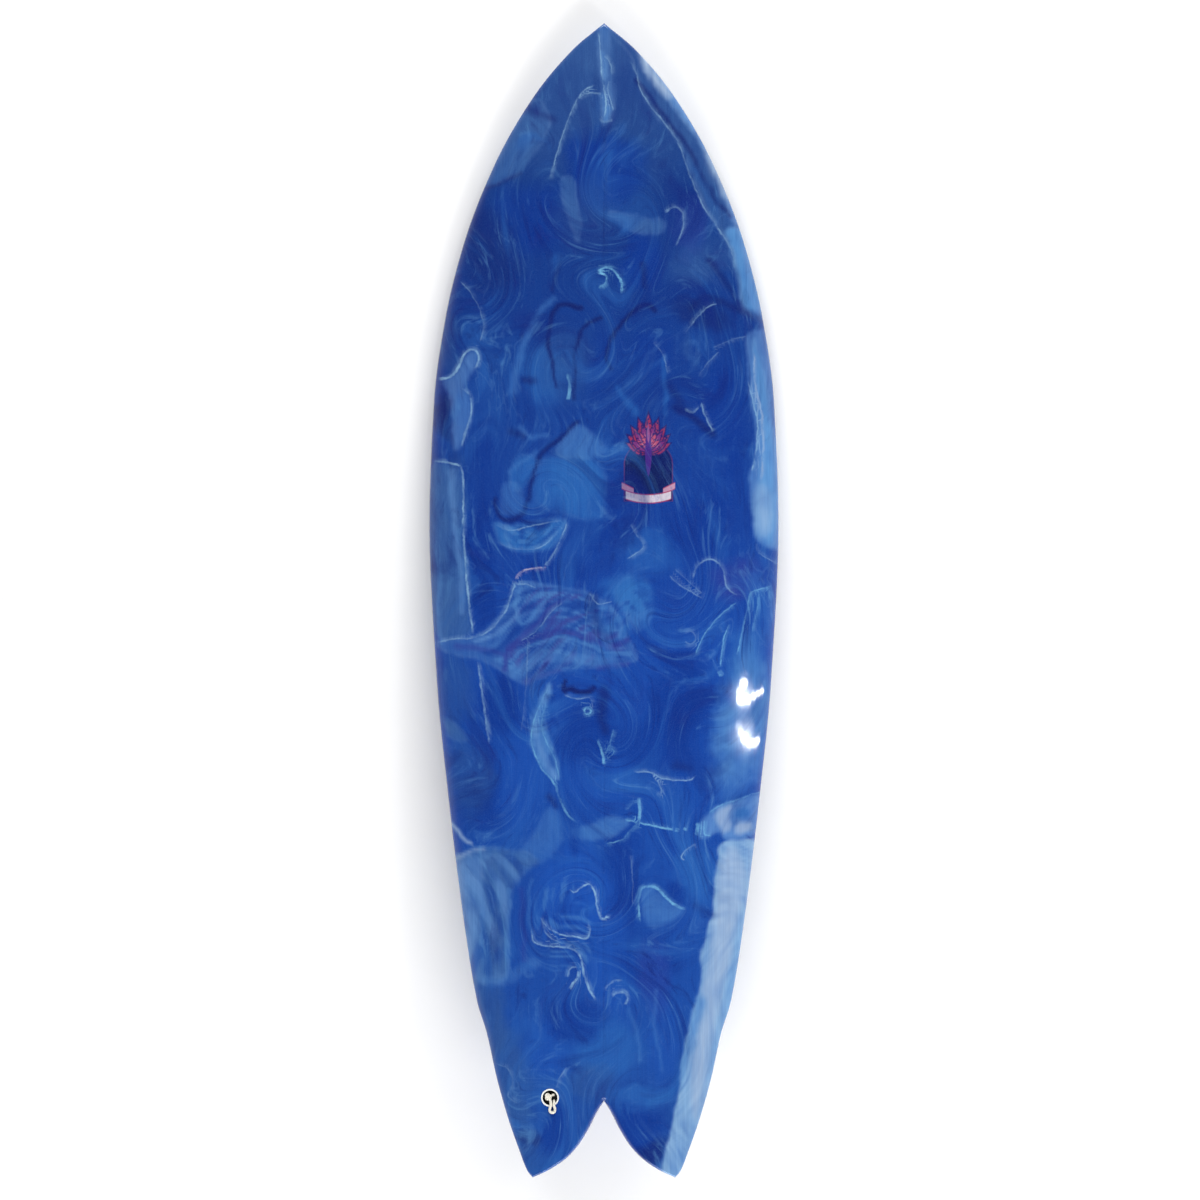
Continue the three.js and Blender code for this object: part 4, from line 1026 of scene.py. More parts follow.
NOISE_REPEAT = 128
EDDIES = [(60, 1.0), (24, 0.6), (10, 0.4), (5, 0.25)]  # size in millimetres, share of the reach


def cloud_noise(x, y, size, seed):
    """Smooth noise from -1 to 1 whose lumps are about that size."""
    table = np.random.default_rng(seed).uniform(-1, 1, (NOISE_REPEAT, NOISE_REPEAT))
    u, v = x / size, y / size
    i, j = np.floor(u).astype(int), np.floor(v).astype(int)
    s, t = ease(u - i, 0, 1), ease(v - j, 0, 1)
    here, on = (i % NOISE_REPEAT, j % NOISE_REPEAT), ((i + 1) % NOISE_REPEAT, (j + 1) % NOISE_REPEAT)
    low = mix(table[here[0], here[1]], table[on[0], here[1]], s)
    high = mix(table[here[0], on[1]], table[on[0], on[1]], s)
    return mix(low, high, t)


def wander(x, y, reach, seed):
    """Points moved about as the wet resin moved, in large and small eddies."""
    dx = sum(cloud_noise(x, y, size, seed + k) * part for k, (size, part) in enumerate(EDDIES))
    dy = sum(cloud_noise(x, y, size, seed + 9 + k) * part for k, (size, part) in enumerate(EDDIES))
    return x + reach * dx, y + reach * dy


def rounded_outline(points, times=2):
    """An outline with its corners cut off and cut off again."""
    p = np.array(points, float)
    for _ in range(times):
        on = np.roll(p, -1, axis=0)
        p = np.stack([0.75 * p + 0.25 * on, 0.25 * p + 0.75 * on], axis=1).reshape(-1, 2)
    return p


def near_path(x, y, path):
    """For each point: its distance to a path, its side, how far along it is, and if it is beside the path."""
    best = np.full(len(x), np.inf)
    side, along, beside = np.zeros(len(x)), np.zeros(len(x)), np.zeros(len(x), bool)
    run = np.concatenate(([0], np.cumsum(np.hypot(*np.diff(path, axis=0).T))))
    for k in range(len(path) - 1):
        (ax, ay), (bx, by) = path[k], path[k + 1]
        dx, dy = bx - ax, by - ay
        square = dx * dx + dy * dy
        t = ((x - ax) * dx + (y - ay) * dy) / square
        part = np.clip(t, 0, 1)
        ox, oy = x - ax - part * dx, y - ay - part * dy
        distance = np.hypot(ox, oy)
        closer = distance < best
        best[closer] = distance[closer]
        side[closer] = np.sign(dx * oy - dy * ox)[closer]
        along[closer] = ((run[k] + part * (run[k + 1] - run[k])) / run[-1])[closer]
        open_end = ((k == 0) & (t < 0)) | ((k == len(path) - 2) & (t > 1))
        beside[closer] = ~open_end[closer]
    return best, side, along, beside


def inside_outline(x, y, outline):
    hit = np.zeros(len(x), bool)
    for (ax, ay), (bx, by) in zip(outline, np.roll(outline, -1, axis=0)):
        if ay != by:
            crosses = (ay > y) != (by > y)
            hit ^= crosses & (x < (bx - ax) * (y - ay) / (by - ay) + ax)
    return hit


def depth_within(x, y, points):
    """How far inside a rounded outline each point is; outside it is negative."""
    outline = rounded_outline(points)
    distance = near_path(x, y, np.vstack((outline, outline[:1])))[0]
    return np.where(inside_outline(x, y, outline), distance, -distance)


def near_box(x, y, points, margin):
    p = np.array(points, float)
    low, high = p.min(axis=0) - margin, p.max(axis=0) + margin
    return np.flatnonzero((x > low[0]) & (x < high[0]) & (y > low[1]) & (y < high[1]))


def lay_over(colour, where, amount, tint):
    colour[where] += (np.array(tint, float) - colour[where]) * np.clip(amount, 0, 1)[:, None]


def ground_colour(y):
    at = [a for a, _ in GROUND]
    return np.stack([np.interp(y, at, [c[k] for _, c in GROUND]) for k in range(3)], axis=1)


STROKE_MARGIN = 12  # millimetres round a stroke that its wandering edge can reach
GUIDE_SPACING = 6
WASH_GAIN = 1.25
WASH_REACH = 1.35  # in half-lengths, where a cloud has faded out
WASH_FADE = 0.8
RIM_WIDTH = 4.5  # of the paler line along a sheet's edge
RIM_SHARE = 0.22
BAND_EDGE = (-3, 6)
BAND_SHARPNESS = 0.8
BAND_DARK_SHARE = 0.8


def paint(x, y):
    """The marbling's colours at board points, laid one over another as sRGB."""
    colour = ground_colour(y)
    wx, wy = wander(x, y, 9, 11)
    sx, sy = wander(x, y, 3.0, 31)
    bx, by = x + 4 * cloud_noise(x, y, 50, 35), y + 4 * cloud_noise(x, y, 50, 36)
    fx, fy = stirred(x, y)
    streak = 0.5 + 0.5 * cloud_noise(fx, fy / 5, 7, 51) * 0.6 + 0.2 * cloud_noise(fx, fy / 5, 3.5, 52)
    thin = mix(0.62, 1.15, np.clip(streak + 0.15, 0, 1))
    for name, opacity, cx, cy, rx, ry, degrees in WASHES:
        turn = math.radians(degrees)
        u = ((wx - cx) * math.cos(turn) + (wy - cy) * math.sin(turn)) / rx
        v = ((wy - cy) * math.cos(turn) - (wx - cx) * math.sin(turn)) / ry
        amount = opacity * ease(WASH_REACH - np.hypot(u, v), 0, WASH_FADE)
        lay_over(colour, slice(None), WASH_GAIN * amount * thin, PALETTE[name])
    for name, opacity, softness, points in SHEETS:
        where = near_box(x, y, points, softness + STROKE_MARGIN)
        depth = depth_within(sx[where], sy[where], points)
        lay_over(colour, where, opacity * ease(depth, -softness, softness) * thin[where], PALETTE[name])
        rim = RIM_SHARE * opacity * ease(RIM_WIDTH - np.abs(depth), 0, RIM_WIDTH)
        lay_over(colour, where, rim * streak[where], PALETTE["haze"])
    for tint, opacity, pitch, outline, guide in BANDED:
        where = near_box(x, y, outline, STROKE_MARGIN)
        px, py = bx[where], by[where]
        depth = depth_within(px, py, outline)
        off, side, along, _ = near_path(px, py, spline(guide, GUIDE_SPACING))
        stripe = cloud_noise(off * side + 300, along * pitch * 2.5 + 0.12 * off, pitch / 2, 61)
        stripe += 0.6 * cloud_noise(off * side + 300, along * pitch * 2.5, pitch / 4, 62)
        inside = opacity * ease(depth, *BAND_EDGE)
        lay_over(colour, where, inside * ease(stripe, 0.0, BAND_SHARPNESS), PALETTE[tint])
        dark = BAND_DARK_SHARE * inside * ease(-stripe, 0.0, BAND_SHARPNESS)
        lay_over(colour, where, dark, PALETTE["deep"])
    for name, opacity, start, end, softness, points in RIBBONS:
        where = near_box(x, y, points, softness + max(start, end) + STROKE_MARGIN)
        distance, _, along, _ = near_path(sx[where], sy[where], spline(points, GUIDE_SPACING))
        depth = mix(start, end, along) - distance
        lay_over(colour, where, opacity * ease(depth, -softness, softness), PALETTE[name])
    return colour


LINE_REACH = 9  # millimetres from a thin line where its marks have faded out
LINE_FADE = 0.45  # the share of that reach where they start to
LINE_TAPER = 0.06  # the share of its length over which a line begins and ends
LINE_SPACING = 4


def thin_lines(x, y):
    """For each point the nearest thin line: signed distance, half-width, strength and colour."""
    marks = np.zeros((len(x), 3))
    marks[:, 0] = LINE_REACH
    tint = np.zeros((len(x), 3))
    lead = np.full(len(x), np.inf)
    for name, opacity, start, end, points in LINES:
        where = near_box(x, y, points, LINE_REACH)
        distance, side, along, beside = near_path(x[where], y[where], spline(points, LINE_SPACING))
        width = mix(start, end, along)
        nearness = distance - width
        won = nearness < lead[where]
        chosen = where[won]
        fade = ease(distance, LINE_REACH, LINE_FADE * LINE_REACH)
        fade = fade * ease(np.minimum(along, 1 - along), 0, LINE_TAPER)
        lead[chosen] = nearness[won]
        marks[chosen] = np.stack([distance * side, width, opacity * fade * beside], axis=1)[won]
        tint[chosen] = PALETTE[name]
    return marks, tint


# Where the resin was stirred: the middle of each swirl, its size and its turn in radians.
VORTICES = [
    (-42, 1230, 60, 3.0), (-94, 1028, 50, -3.2), (85, 864, 70, 2.6), (-27, 415, 55, 3.4),
    (-64, 350, 50, -2.4), (75, 400, 60, 2.4), (0, 265, 60, -2.8), (0, 654, 60, 2.2),
    (-70, 690, 50, -2.6), (130, 1163, 70, 2.0), (25, 1462, 60, -2.4), (0, 1343, 50, 2.8),
    (150, 879, 60, -2.2), (-199, 1313, 60, 1.6), (-190, 560, 80, 1.6), (190, 450, 90, -1.4),
    (60, 150, 70, 2.0), (-110, 110, 60, -1.8), (-60, 1500, 60, 1.8), (100, 1330, 60, -2.0),
    (-150, 830, 70, 1.8), (20, 1050, 60, -2.2), (160, 700, 70, 1.8), (40, 560, 60, -2.0),
]


def stirred(x, y):
    """Where each point of the marbling was before the resin was stirred round these middles."""
    for cx, cy, size, turns in VORTICES:
        dx, dy = x - cx, y - cy
        turn = turns * np.exp(-(dx * dx + dy * dy) / (size * size))
        x = cx + dx * np.cos(turn) - dy * np.sin(turn)
        y = cy + dx * np.sin(turn) + dy * np.cos(turn)
    return x, y


PALE_GREEN = (105, 175)  # the green value at which paint starts and ends losing its streaks
PALE_LOSS = 0.75


def colour_skin(obj):
    """Writes the marbling to a piece that is still in board millimetres."""
    co = vertex_array(obj)
    x, y = co[:, 0], co[:, 1]
    opaque = np.ones((len(x), 1))
    colour = paint(x, y)
    attribute(obj, "paint", np.hstack((albedo(colour), opaque)), "FLOAT_COLOR")
    marks, tint = thin_lines(x, y)
    attribute(obj, "line", marks)
    attribute(obj, "line_tint", np.hstack((albedo(tint), opaque)), "FLOAT_COLOR")
    fx, fy = stirred(x, y)
    strength = 1 - PALE_LOSS * ease(colour[:, 1], *PALE_GREEN)
    attribute(obj, "flow", np.stack([fx, fy, strength], axis=1))


# ---------------------------------------------------------------- skins

NOTCH_ROWS = 44
APEX_ROWS = 12
APEX_REACH = 9  # millimetres ahead of the notch that the fine rows cover
APEX_FADE = 60
BODY_ROWS = 516
BODY_CROWDING = 1.15  # over 1, the rows crowd towards the nose
SECTION_SAMPLES = 500
COLUMNS = 80
COARSE = 4  # the inner sheet has one point for each of these of the outer's
SKIN_THICKNESS = 1.9
PLUG_GAP = 0.3
PLUG_CUTTER = 30


def sheet_half(side, hand):
    """The rows of one half of a skin, with points spread evenly round each section, middle to rail."""
    ys = np.concatenate((
        NOTCH_APEX * (1 - np.cos(np.linspace(0, math.pi / 2, NOTCH_ROWS, endpoint=False))),
        NOTCH_APEX + np.linspace(0, APEX_REACH, APEX_ROWS, endpoint=False),
        mix(NOTCH_APEX + APEX_REACH, LENGTH, 1 - np.linspace(1, 0, BODY_ROWS + 1) ** BODY_CROWDING),
    ))
    spread = (1 - np.cos(np.linspace(0, math.pi, SECTION_SAMPLES))) / 2
    rows = []
    for y in ys:
        inner, outer = float(inner_edge(y)), float(half_width(y))
        x = inner + (outer - inner) * spread
        z = surface(side, x, np.full_like(x, y))
        crowd = ease(y, NOTCH_APEX + APEX_FADE, NOTCH_APEX) * (y > NOTCH_APEX)
        rise = np.diff(z) + crowd * APEX_REACH * np.diff(rounding(x, SWALLOW_EDGE_RADIUS))
        run = np.concatenate(([0], np.cumsum(np.hypot(np.diff(x), rise))))
        at = np.linspace(0, run[-1], COLUMNS + 1)
        across, height = np.interp(at, run, x), np.interp(at, run, z)
        rows.append(np.stack([hand * across, np.full(COLUMNS + 1, y), height], axis=1))
    return np.array(rows)


def inwards(grid, side, hand):
    """The inner sheet: one in COARSE of the outer's points, moved in by the skin's thickness."""
    across = np.gradient(grid, axis=1)
    along = np.gradient(grid, axis=0)
    normal = np.cross(across, along) * side * hand
    normal[np.abs(grid[..., 0]) < 1e-6, 0] = 0
    size = np.linalg.norm(normal, axis=2, keepdims=True)
    normal = np.where(size > 1e-6, normal / np.maximum(size, 1e-9), (0, 0, side))
    return (grid - normal * SKIN_THICKNESS)[::COARSE, ::COARSE]


def skin(name, side):
    """One closed skin: a fine outer sheet and a coarse inner one, joined round the rail and the tail."""
    bm = bmesh.new()
    for hand in (1, -1):
        grid = sheet_half(side, hand)
        outer = [[bm.verts.new(p) for p in row] for row in grid]
        inner = [[bm.verts.new(p) for p in row] for row in inwards(grid, side, hand)]
        for sheet in (outer, inner):
            for low, high in zip(sheet, sheet[1:]):
                for k in range(len(low) - 1):
                    bm.faces.new((low[k], low[k + 1], high[k + 1], high[k]))
        for r in range(len(inner) - 1):
            rows = outer[r * COARSE:(r + 1) * COARSE + 1]
            bm.faces.new([row[-1] for row in rows] + [inner[r + 1][-1], inner[r][-1]])
            if (r + 1) * COARSE <= NOTCH_ROWS:
                bm.faces.new([row[0] for row in rows] + [inner[r + 1][0], inner[r][0]])
        ends = ((outer[-1], inner[-1]), (outer[0], inner[0]))
        for fine, coarse in ends:
            for c in range(len(coarse) - 1):
                bm.faces.new(fine[c * COARSE:(c + 1) * COARSE + 1] + [coarse[c + 1], coarse[c]])
    bmesh.ops.remove_doubles(bm, verts=bm.verts, dist=1e-3)
    bmesh.ops.dissolve_degenerate(bm, edges=bm.edges, dist=1e-4)
    bmesh.ops.recalc_face_normals(bm, faces=bm.faces)
    mesh = bpy.data.meshes.new(name)
    bm.to_mesh(mesh)
    bm.free()
    return in_scene(name, mesh)


def stadium(name, length, width, height, matrix, steps=24):
    """An upright prism with round ends, to cut a slot with."""
    ring = []
    for end in (1, -1):
        for k in range(steps + 1):
            turn = math.pi * k / steps + (0 if end > 0 else math.pi)
            ring.append((width / 2 * math.cos(turn), end * (length - width) / 2 + width / 2 * math.sin(turn)))
    count = len(ring)
    verts = [matrix @ Vector((x, y, z)) for z in (-height / 2, height / 2) for x, y in ring]
    faces = [list(range(count)), list(range(count, 2 * count))]
    faces += [[k, (k + 1) % count, (k + 1) % count + count, k + count] for k in range(count)]
    return outwards(new_object(name, verts, faces))


def deck_skin(material):
    deck = skin("deck_skin", 1)
    hole = 2 * RING_RADIUS + PLUG_GAP
    combine(deck, stadium("plug_hole", hole, hole, PLUG_CUTTER, PLUG, steps=48), "DIFFERENCE")
    colour_skin(deck)
    replaced = ["deck_gloss_coat", "deck_laminate"]
    finish_piece(deck, material, Matrix(), hides=replaced, sharp=50)


# ---------------------------------------------------------------- bottom

FIN_PLACE = (121, 262)
FIN_TOE_IN = math.radians(1.9)
FIN_CANT = math.radians(6)
FIN_HEIGHT = 130
FIN_THICKNESS = 7.5
OUTER_SHARE = 0.62
BOX_FORWARD = 38
BOX_LENGTH = 144
BOX_WIDTH = 17
BOX_GAP = 0.4
BOX_CUTTER = 40
TAB_LENGTH = 114.4
TAB_WIDTH = 6.4
TAB_HEIGHT = 18
TAB_OVERLAP = 0.6  # how far the tab runs up into the foil
BASE_GAP = 0.3
BASE_STEPS = 4  # passes that lay the foil's base on the curved bottom
TIP_SHARE = 0.3  # the tip's thickness as a share of the base's
FOIL_FULLNESS = 0.93
FOIL_LEAD = 0.75  # under 1, the thickest place is ahead of the middle
KEEL_CROWDING = 1.6  # over 1, the rows crowd towards the tip
KEEL_LEADING = [(0, 95), (25, 78), (60, 45), (95, -4), (115, -40), (126, -68), (130, -88)]
KEEL_TRAILING = [(0, -95), (20, -83), (50, -79), (85, -87), (110, -98), (124, -103), (130, -98)]
KEEL_ROWS = 70
KEEL_AROUND = 40
BOTTOM_SHIFT = 260  # the bottom's marbling meets the deck's at the rail and differs between
BOTTOM_BLEND = 500  # millimetres from the nose over which it comes to differ


def fin_frame(hand):
    flat = surface_frame(-1, hand * FIN_PLACE[0], FIN_PLACE[1])
    return flat @ Matrix.Rotation(-hand * FIN_TOE_IN, 4, "Z") @ Matrix.Rotation(-hand * FIN_CANT, 4, "Y")


def box_frame(hand):
    return fin_frame(hand) @ Matrix.Translation((0, BOX_FORWARD, 0))


def bottom_skin(material):
    bottom = skin("bottom_skin", -1)
    for hand in (1, -1):
        hole = stadium("box_hole", BOX_LENGTH + BOX_GAP, BOX_WIDTH + BOX_GAP, BOX_CUTTER, box_frame(hand))
        combine(bottom, hole, "DIFFERENCE")
    co = vertex_array(bottom)
    across = np.clip(np.abs(co[:, 0]) / np.maximum(half_width(co[:, 1]), 1), 0, 1)
    painted = co.copy()
    painted[:, 1] += BOTTOM_SHIFT * (1 - across**2) ** 2 * ease(LENGTH - co[:, 1], 0, BOTTOM_BLEND)
    bottom.data.vertices.foreach_set("co", painted.astype(np.float32).ravel())
    colour_skin(bottom)
    bottom.data.vertices.foreach_set("co", co.astype(np.float32).ravel())
    bottom.data.update()
    replaced = ["bottom_gloss_coat", "bottom_laminate"]
    finish_piece(bottom, material, Matrix(), hides=replaced, sharp=50)


def keel(side, hand, material):
    """A keel fin's foil with the tab that stands in its box."""
    leading, trailing = through(KEEL_LEADING), through(KEEL_TRAILING)
    place = fin_frame(hand)
    count = 2 * KEEL_AROUND
    verts, ply = [], []
    for j in range(KEEL_ROWS + 1):
        up = 1 - (1 - j / KEEL_ROWS) ** KEEL_CROWDING
        front, back = float(leading(FIN_HEIGHT * up)), float(trailing(FIN_HEIGHT * up))
        most = FIN_THICKNESS * mix(1, TIP_SHARE, up)
        for i in range(count):
            outside = i < KEEL_AROUND
            share = i / KEEL_AROUND if outside else (count - i) / KEEL_AROUND
            along = (1 - math.cos(math.pi * share)) / 2
            foil = most * math.sqrt(max(0, math.sin(math.pi * along**FOIL_LEAD))) * FOIL_FULLNESS
            x = -hand * (foil * OUTER_SHARE if outside else -foil * (1 - OUTER_SHARE))
            y = mix(front, back, along)
            base = 0.0
            for _ in range(BASE_STEPS):
                spot = place @ Vector((x, y, base))
                base += (float(surface(-1, spot.x, spot.y)) - BASE_GAP - spot.z) / place[2][2]
            verts.append((x, y, mix(base, FIN_HEIGHT, up)))
            ply.append(foil)
    faces = []
    for j in range(KEEL_ROWS):
        for i in range(count):
            a, b = j * count + i, j * count + (i + 1) % count
            faces.append([a, b, b + count, a + count])
    faces += [list(range(count)), list(range(KEEL_ROWS * count, (KEEL_ROWS + 1) * count))]
    fin = new_object(f"keel_{side}_foil", verts, faces)
    attribute(fin, "ply", ply, "FLOAT")
    outwards(fin)
    tab_place = Matrix.Translation((0, BOX_FORWARD, (TAB_OVERLAP - TAB_HEIGHT) / 2))
    tab = stadium("tab", TAB_LENGTH, TAB_WIDTH, TAB_HEIGHT + TAB_OVERLAP, tab_place)
    combine(fin, tab, "UNION")
    finish_piece(fin, material, place, f"{side}_keel", [f"keel_fin_{side}"], sharp=60)


# ---------------------------------------------------------------- decal

DECAL_PLACE = (66.5, 1080)
DECAL_HALF = (42.5, 74)
DECAL_STEP = 0.7
DECAL_EDGE = [
    (-74, 26), (-66, 38), (-56, 41), (-20, 42), (20, 42), (38, 40), (52, 33), (64, 20), (71, 9), (74, 3),
]
DECAL_LIFT = 0.14
# The badge, in millimetres from its middle.
PETALS = [(9, 69, 9.5, (186, 56, 84)), (6, 52, 6.5, (150, 54, 122)), (5, 36, 4.5, (216, 92, 112))]
PETAL_FAN = 140  # degrees over which a ring of petals spreads
PETAL_FOOT = 4
PETAL_STEP = 5
PETAL_DROOP = 0.0065  # the share of its length that a petal loses with each degree of lean
ARCH_HALF = 37
ARCH_SPRING = -10
ARCH_RISE = 34
ARCH_FOOT = -66
ARCH_FADE = 12
RIBBON_HALF = 34
RIBBON_PLACE = -62
RIBBON_SAG = 6
TAIL_PLACE = -47
TAIL_SLOPE = 0.5
TAIL_HALF = 9


def decal_colours(dx, dy, colour):
    """A plain badge: petals over a navy arch, with a blank ribbon across its foot."""

    def over(amount, tint):
        lay_over(colour, slice(None), amount, tint)

    def band(value, low, high, softness=0.5):
        return ease(value, low - softness, low + softness) * ease(-value, -high - softness, -high + softness)

    def petal(cx, cy, degrees, half, length):
        turn = math.radians(degrees)
        u = (dx - cx) * math.cos(turn) - (dy - cy) * math.sin(turn)
        v = (dx - cx) * math.sin(turn) + (dy - cy) * math.cos(turn)
        return (half * np.sin(math.pi * np.clip(v / length, 0, 1) ** 0.8) - np.abs(u)) / half

    scuff = cloud_noise(dx + 200, dy + 200, 2.2, 71)
    arch = np.where(
        dy > ARCH_SPRING,
        1 - np.hypot(dx / ARCH_HALF, (dy - ARCH_SPRING) / ARCH_RISE),
        np.minimum(1 - np.abs(dx) / ARCH_HALF, (dy - ARCH_FOOT) / ARCH_FADE),
    )
    over(0.88 * ease(arch, -0.02, 0.03), (18, 24, 78))
    over(0.55 * band(arch, 0.0, 0.05, 0.012), (150, 74, 130))
    for ring, (count, length, half, tint) in enumerate(PETALS):
        for k in sorted(range(count), key=lambda k: -abs(k - (count - 1) / 2)):
            degrees = (k - (count - 1) / 2) * PETAL_FAN / count
            reach = length * (1 - PETAL_DROOP * abs(degrees))
            leaf = petal(0, PETAL_FOOT + PETAL_STEP * ring, degrees, half, reach)
            over(0.75 * ease(leaf, 0.0, 0.12), (44, 26, 96))
            over(0.9 * ease(leaf, 0.16, 0.4) * ease(scuff, -0.9, 0.1), tint)
            over(0.6 * ease(leaf, 0.72, 0.95), (236, 150, 164))
    over(0.85 * ease(petal(0, -30, 0, 5.5, 84), 0, 0.2), (84, 44, 140))
    over(0.7 * ease(petal(0, 20, 0, 2.4, 34), 0, 0.4), (206, 110, 150))
    for inset in (0.16, 0.24):
        over(0.35 * band(arch, inset, inset + 0.012, 0.012), (104, 116, 196))
    for sign in (1, -1):
        tail = dy - TAIL_PLACE - TAIL_SLOPE * sign * (dx - sign * 30)
        end = ease(TAIL_HALF - np.abs(dx - sign * 31), -0.5, 0.5)
        over(0.92 * end * band(tail, -5.4, 5.4), (186, 66, 96))
        over(0.92 * end * band(tail, -4.0, 4.0), (206, 160, 184))
    sweep = dy - RIBBON_PLACE - RIBBON_SAG * (dx / RIBBON_HALF) ** 2
    ribbon = ease(RIBBON_HALF - np.abs(dx), -0.5, 0.5)
    over(0.95 * ribbon * band(sweep, -7.2, 7.2), (178, 60, 96))
    over(0.95 * ribbon * band(sweep, -5.6, 5.6), (224, 218, 230))
    over(0.16 * ease(scuff, 0.1, 0.9), (24, 60, 146))


def decal(material):
    """The printed tissue under the gloss: its clear parts carry the deck's own marbling."""
    edge = through(DECAL_EDGE)
    rows = round(2 * DECAL_HALF[1] / DECAL_STEP)
    columns = round(2 * DECAL_HALF[0] / DECAL_STEP)
    dy = np.repeat(np.linspace(-DECAL_HALF[1], DECAL_HALF[1], rows + 1), columns + 1)
    dx = np.tile(np.linspace(-1, 1, columns + 1), rows + 1) * edge(dy)
    x, y = dx + DECAL_PLACE[0], dy + DECAL_PLACE[1]
    z = surface(1, x, y)
    count = len(x)
    top = np.stack([x, y, z + DECAL_LIFT], axis=1)
    verts = np.vstack((top, top - (0, 0, DECAL_LIFT / 2)))
    faces = []
    for r in range(rows):
        for c in range(columns):
            a = r * (columns + 1) + c
            quad = [a, a + 1, a + columns + 2, a + columns + 1]
            faces += [quad, [v + count for v in reversed(quad)]]
    rim = list(range(columns)) + [r * (columns + 1) + columns for r in range(rows)]
    rim += [rows * (columns + 1) + c for c in range(columns, 0, -1)]
    rim += [r * (columns + 1) for r in range(rows, 0, -1)]
    faces += [[a, b, b + count, a + count] for a, b in zip(rim, rim[1:] + rim[:1])]
    obj = outwards(new_object("deck_decal_print", verts, faces))
    colour_skin(obj)
    colour = paint(x, y)
    decal_colours(dx, dy, colour)
    opaque = np.ones((2 * count, 1))
    printed = np.hstack((albedo(np.vstack((colour, colour))), opaque))
    obj.data.attributes["paint"].data.foreach_set("color", printed.astype(np.float32).ravel())
    return finish_piece(obj, material, Matrix(), hides=["deck_decal"], sharp=80)


# ---------------------------------------------------------------- leash plug


RING_BEVEL = (0.4, 0.8)  # across and down, inside the ring's top
RING_ROUNDING = 0.45
RING_SEAT = 0.1
CUP_WALL = 5  # how far the cup's wall goes straight down before it turns into its round floor
CUP_CHAMFER = 1.5
CUP_STEPS = 14
PIN_END_GAP = 0.6


def leash_plug(black, white):
    foot = RING_TOP - RING_HEIGHT
    ring = [
        (RING_OPEN_RADIUS, foot), (RING_RADIUS, foot), (RING_RADIUS, RING_TOP),
        (RING_OPEN_RADIUS + RING_BEVEL[0], RING_TOP), (RING_OPEN_RADIUS, RING_TOP - RING_BEVEL[1]),
    ]
    rim = lathe("leash_plug_rim", round_corners(ring, RING_ROUNDING))
    finish_piece(rim, white, PLUG, hides=["leash_plug_ring"])
    top = foot - RING_SEAT
    drop = CUP_DEPTH - CUP_FLOOR + top - CUP_WALL
    bowl = [
        (RING_OPEN_RADIUS * math.cos(a), top - CUP_WALL + drop * -math.sin(a))
        for a in np.linspace(0, math.pi / 2, CUP_STEPS)
    ]
    bowl[-1] = (0, bowl[-1][1])
    shell = [
        (0, -CUP_DEPTH), (CUP_RADIUS - CUP_CHAMFER, -CUP_DEPTH), (CUP_RADIUS, CUP_CHAMFER - CUP_DEPTH),
        (CUP_RADIUS, top), (RING_OPEN_RADIUS, top),
    ]
    body = lathe("leash_plug_body", shell + bowl)
    finish_piece(body, black, PLUG, hides=["leash_plug_cup"])
    half = RING_OPEN_RADIUS - PIN_END_GAP
    rod = lathe("leash_plug_rod", [(0, -half), (PIN_RADIUS, -half), (PIN_RADIUS, half), (0, half)], 48)
    across = PLUG @ Matrix.Translation((0, 0, -PIN_DEPTH)) @ Matrix.Rotation(math.pi / 2, 4, "Y")
    finish_piece(rod, black, across, hides=["leash_plug_pin"])


# ---------------------------------------------------------------- lights and floor


def aimed(obj, place, target):
    obj.location = place
    obj.rotation_mode = "QUATERNION"
    obj.rotation_quaternion = (Vector(target) - Vector(place)).to_track_quat("-Z", "Y")


def area_light(name, place, target, size, power, shape="RECTANGLE"):
    data = bpy.data.lights.new(name, "AREA")
    data.shape = shape
    data.size, data.size_y = size
    data.energy = power
    light = in_scene(name, data)
    aimed(light, place, target)
    return light


FLOOR_HALF = 9.0
FLOOR_LEVEL = -0.0004
SOFTBOX_POWER = 118  # each of the two long softboxes, beyond the nose and beyond the tail
SOFTBOX_Y = 3.1
SOFTBOX_HEIGHT = 2.0
SOFTBOX_SIZE = (3.2, 1.3)
SOFTBOX_AIM = 0.05  # where it points, as a share of its distance
LIGHT_REACH = 1.2
# Two bright crescents on the starboard rail, in spots: board x and y, radius in millimetres, radiance.
GLINTS = [
    (210, 741, 6.8, 60), (204, 729, 6, 30), (207, 718, 8.2, 60), (216, 716.5, 6, 60), (225, 722.5, 4.5, 60),
    (232, 726.5, 3.8, 60), (237.5, 729.5, 3.6, 60),
    (202.5, 676, 6, 12), (205.5, 667, 5.3, 25), (211.5, 658, 6, 60), (219, 652, 6, 60), (226.5, 652, 5.3, 60),
    (231.5, 655, 4.5, 60),
]
GLOWS = [(213, 724), (214, 664)]  # the soft light round each crescent
GLOW_STEPS = 12
GLOW_GAP = 0.01  # metres between one step's light and the next
GLOW_RADIUS = 38
GLOW_RADIANCE = 5.0


def mirrored(x, y, reach=LIGHT_REACH):
    """Where a light has to stand for the camera to see it mirrored in the deck at a board point."""
    spot = surface_frame(1, x, y)
    normal = (BOARD.to_3x3() @ spot.to_3x3()).col[2].normalized()
    place = TO_ROW @ spot.translation
    seen = (place - bpy.context.scene.camera.matrix_world.translation).normalized()
    return place, place + seen.reflect(normal) * reach


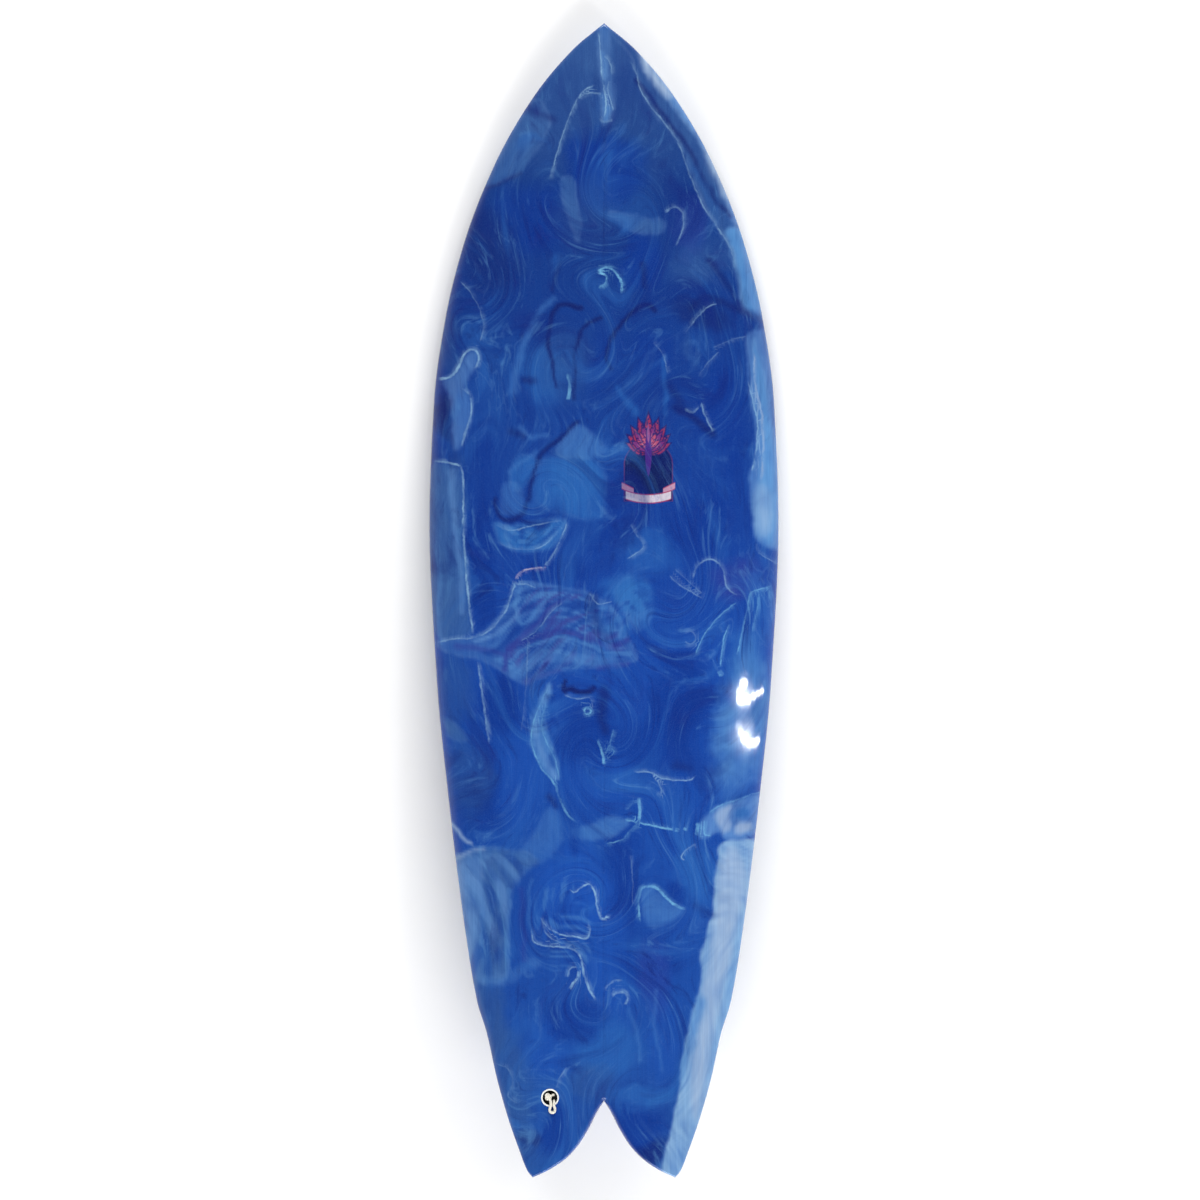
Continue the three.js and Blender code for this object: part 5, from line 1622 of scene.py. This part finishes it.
def window(name, at, radius, radiance, distance=LIGHT_REACH):
    """An oval light that the camera sees mirrored in the deck as a round spot."""
    spot, place = mirrored(*at, distance)
    away = (place - spot).normalized()
    steps = [mirrored(at[0] - dx, at[1] + dy, distance)[1] - place for dx, dy in ((radius, 0), (0, radius))]
    reach = np.array([step - away * step.dot(away) for step in steps]).T
    axes, halves, _ = np.linalg.svd(reach, full_matrices=False)
    across = Vector(axes[:, 0])
    size = [2 * half for half in halves]
    light = area_light(name, place, spot, size, radiance * math.pi**2 / 4 * size[0] * size[1], "ELLIPSE")
    light.rotation_quaternion = Matrix((across, away.cross(across), away)).transposed().to_quaternion()


def studio():
    world = bpy.data.worlds.new("studio")
    bpy.context.scene.world = world
    world.use_nodes = True
    tree = world.node_tree
    coordinates = tree.nodes.new("ShaderNodeTexCoord")
    split = tree.nodes.new("ShaderNodeSeparateXYZ")
    height = tree.nodes.new("ShaderNodeMapRange")
    height.interpolation_type = "SMOOTHSTEP"
    tree.links.new(coordinates.outputs["Generated"], split.inputs[0])
    tree.links.new(split.outputs["Z"], height.inputs["Value"])
    for key, value in (("From Min", 0.05), ("From Max", 0.9), ("To Min", 1.0), ("To Max", 0.05)):
        height.inputs[key].default_value = value
    tree.links.new(height.outputs[0], tree.nodes["Background"].inputs["Strength"])
    tree.nodes["Background"].inputs["Color"].default_value = (1, 1, 1, 1)
    for name, y in (("nose", SOFTBOX_Y), ("tail", -SOFTBOX_Y)):
        at, target = (0, y, SOFTBOX_HEIGHT), (0, y * SOFTBOX_AIM, 0)
        area_light(f"softbox {name}", at, target, SOFTBOX_SIZE, SOFTBOX_POWER)
    for k, (x, y, radius, radiance) in enumerate(GLINTS):
        window(f"window {k}", (x, y), radius, radiance)
    for side, at in enumerate(GLOWS):
        for k in range(GLOW_STEPS):
            part = (k + 1) / GLOW_STEPS
            fade = (1 + 1 / GLOW_STEPS - part) ** 2
            distance = LIGHT_REACH + GLOW_GAP * (k + 1)
            window(f"glow {side} {k}", at, GLOW_RADIUS * part, GLOW_RADIANCE * fade, distance)


def floor():
    n = Nodes("studio floor")
    mottle = n.noise(n.place(), 0.02, 3.0)
    colour = n.mix(mottle, (0.89, 0.89, 0.89), (0.91, 0.91, 0.91))
    material = n.surface(Base_Color=colour, Roughness=n.ramp(mottle, 0, 1, 0.8, 0.9))
    corners = ((-1, -1), (1, -1), (1, 1), (-1, 1))
    ring = [(FLOOR_HALF * sx, FLOOR_HALF * sy, FLOOR_LEVEL) for sx, sy in corners]
    ground = new_object("studio_floor", ring, [[0, 1, 2, 3]])
    ground.data.materials.append(material)


# ---------------------------------------------------------------- the whole board


def carried_over(nodes, material):
    """Gives CAD nodes that stay visible their finish."""
    for name in nodes:
        obj = bpy.data.objects[name]
        obj.data.materials.clear()
        obj.data.materials.append(material)


leash(braided_nylon())
resin = resin_tint("marbled resin tint")
deck_skin(resin)
bottom_skin(resin)
decal(resin)
black = moulded_plastic("black acetal", (26, 26, 28), (18, 18, 20), 0.36)
white = moulded_plastic("white acetal", (236, 236, 234), (214, 216, 216), 0.3)
leash_plug(black, white)
fibreglass = fin_laminate()
for side, hand in (("right", 1), ("left", -1)):
    keel(side, hand, fibreglass)
carried_over(["fin_box_left", "fin_box_right"], black)
carried_over(["fin_screw_left", "fin_screw_right"], stainless())
carried_over(["foam_blank_left", "foam_blank_right"], foam())
carried_over(["stringer"], stringer_wood())
floor()
studio()
bpy.context.scene.view_settings.view_transform = "Standard"
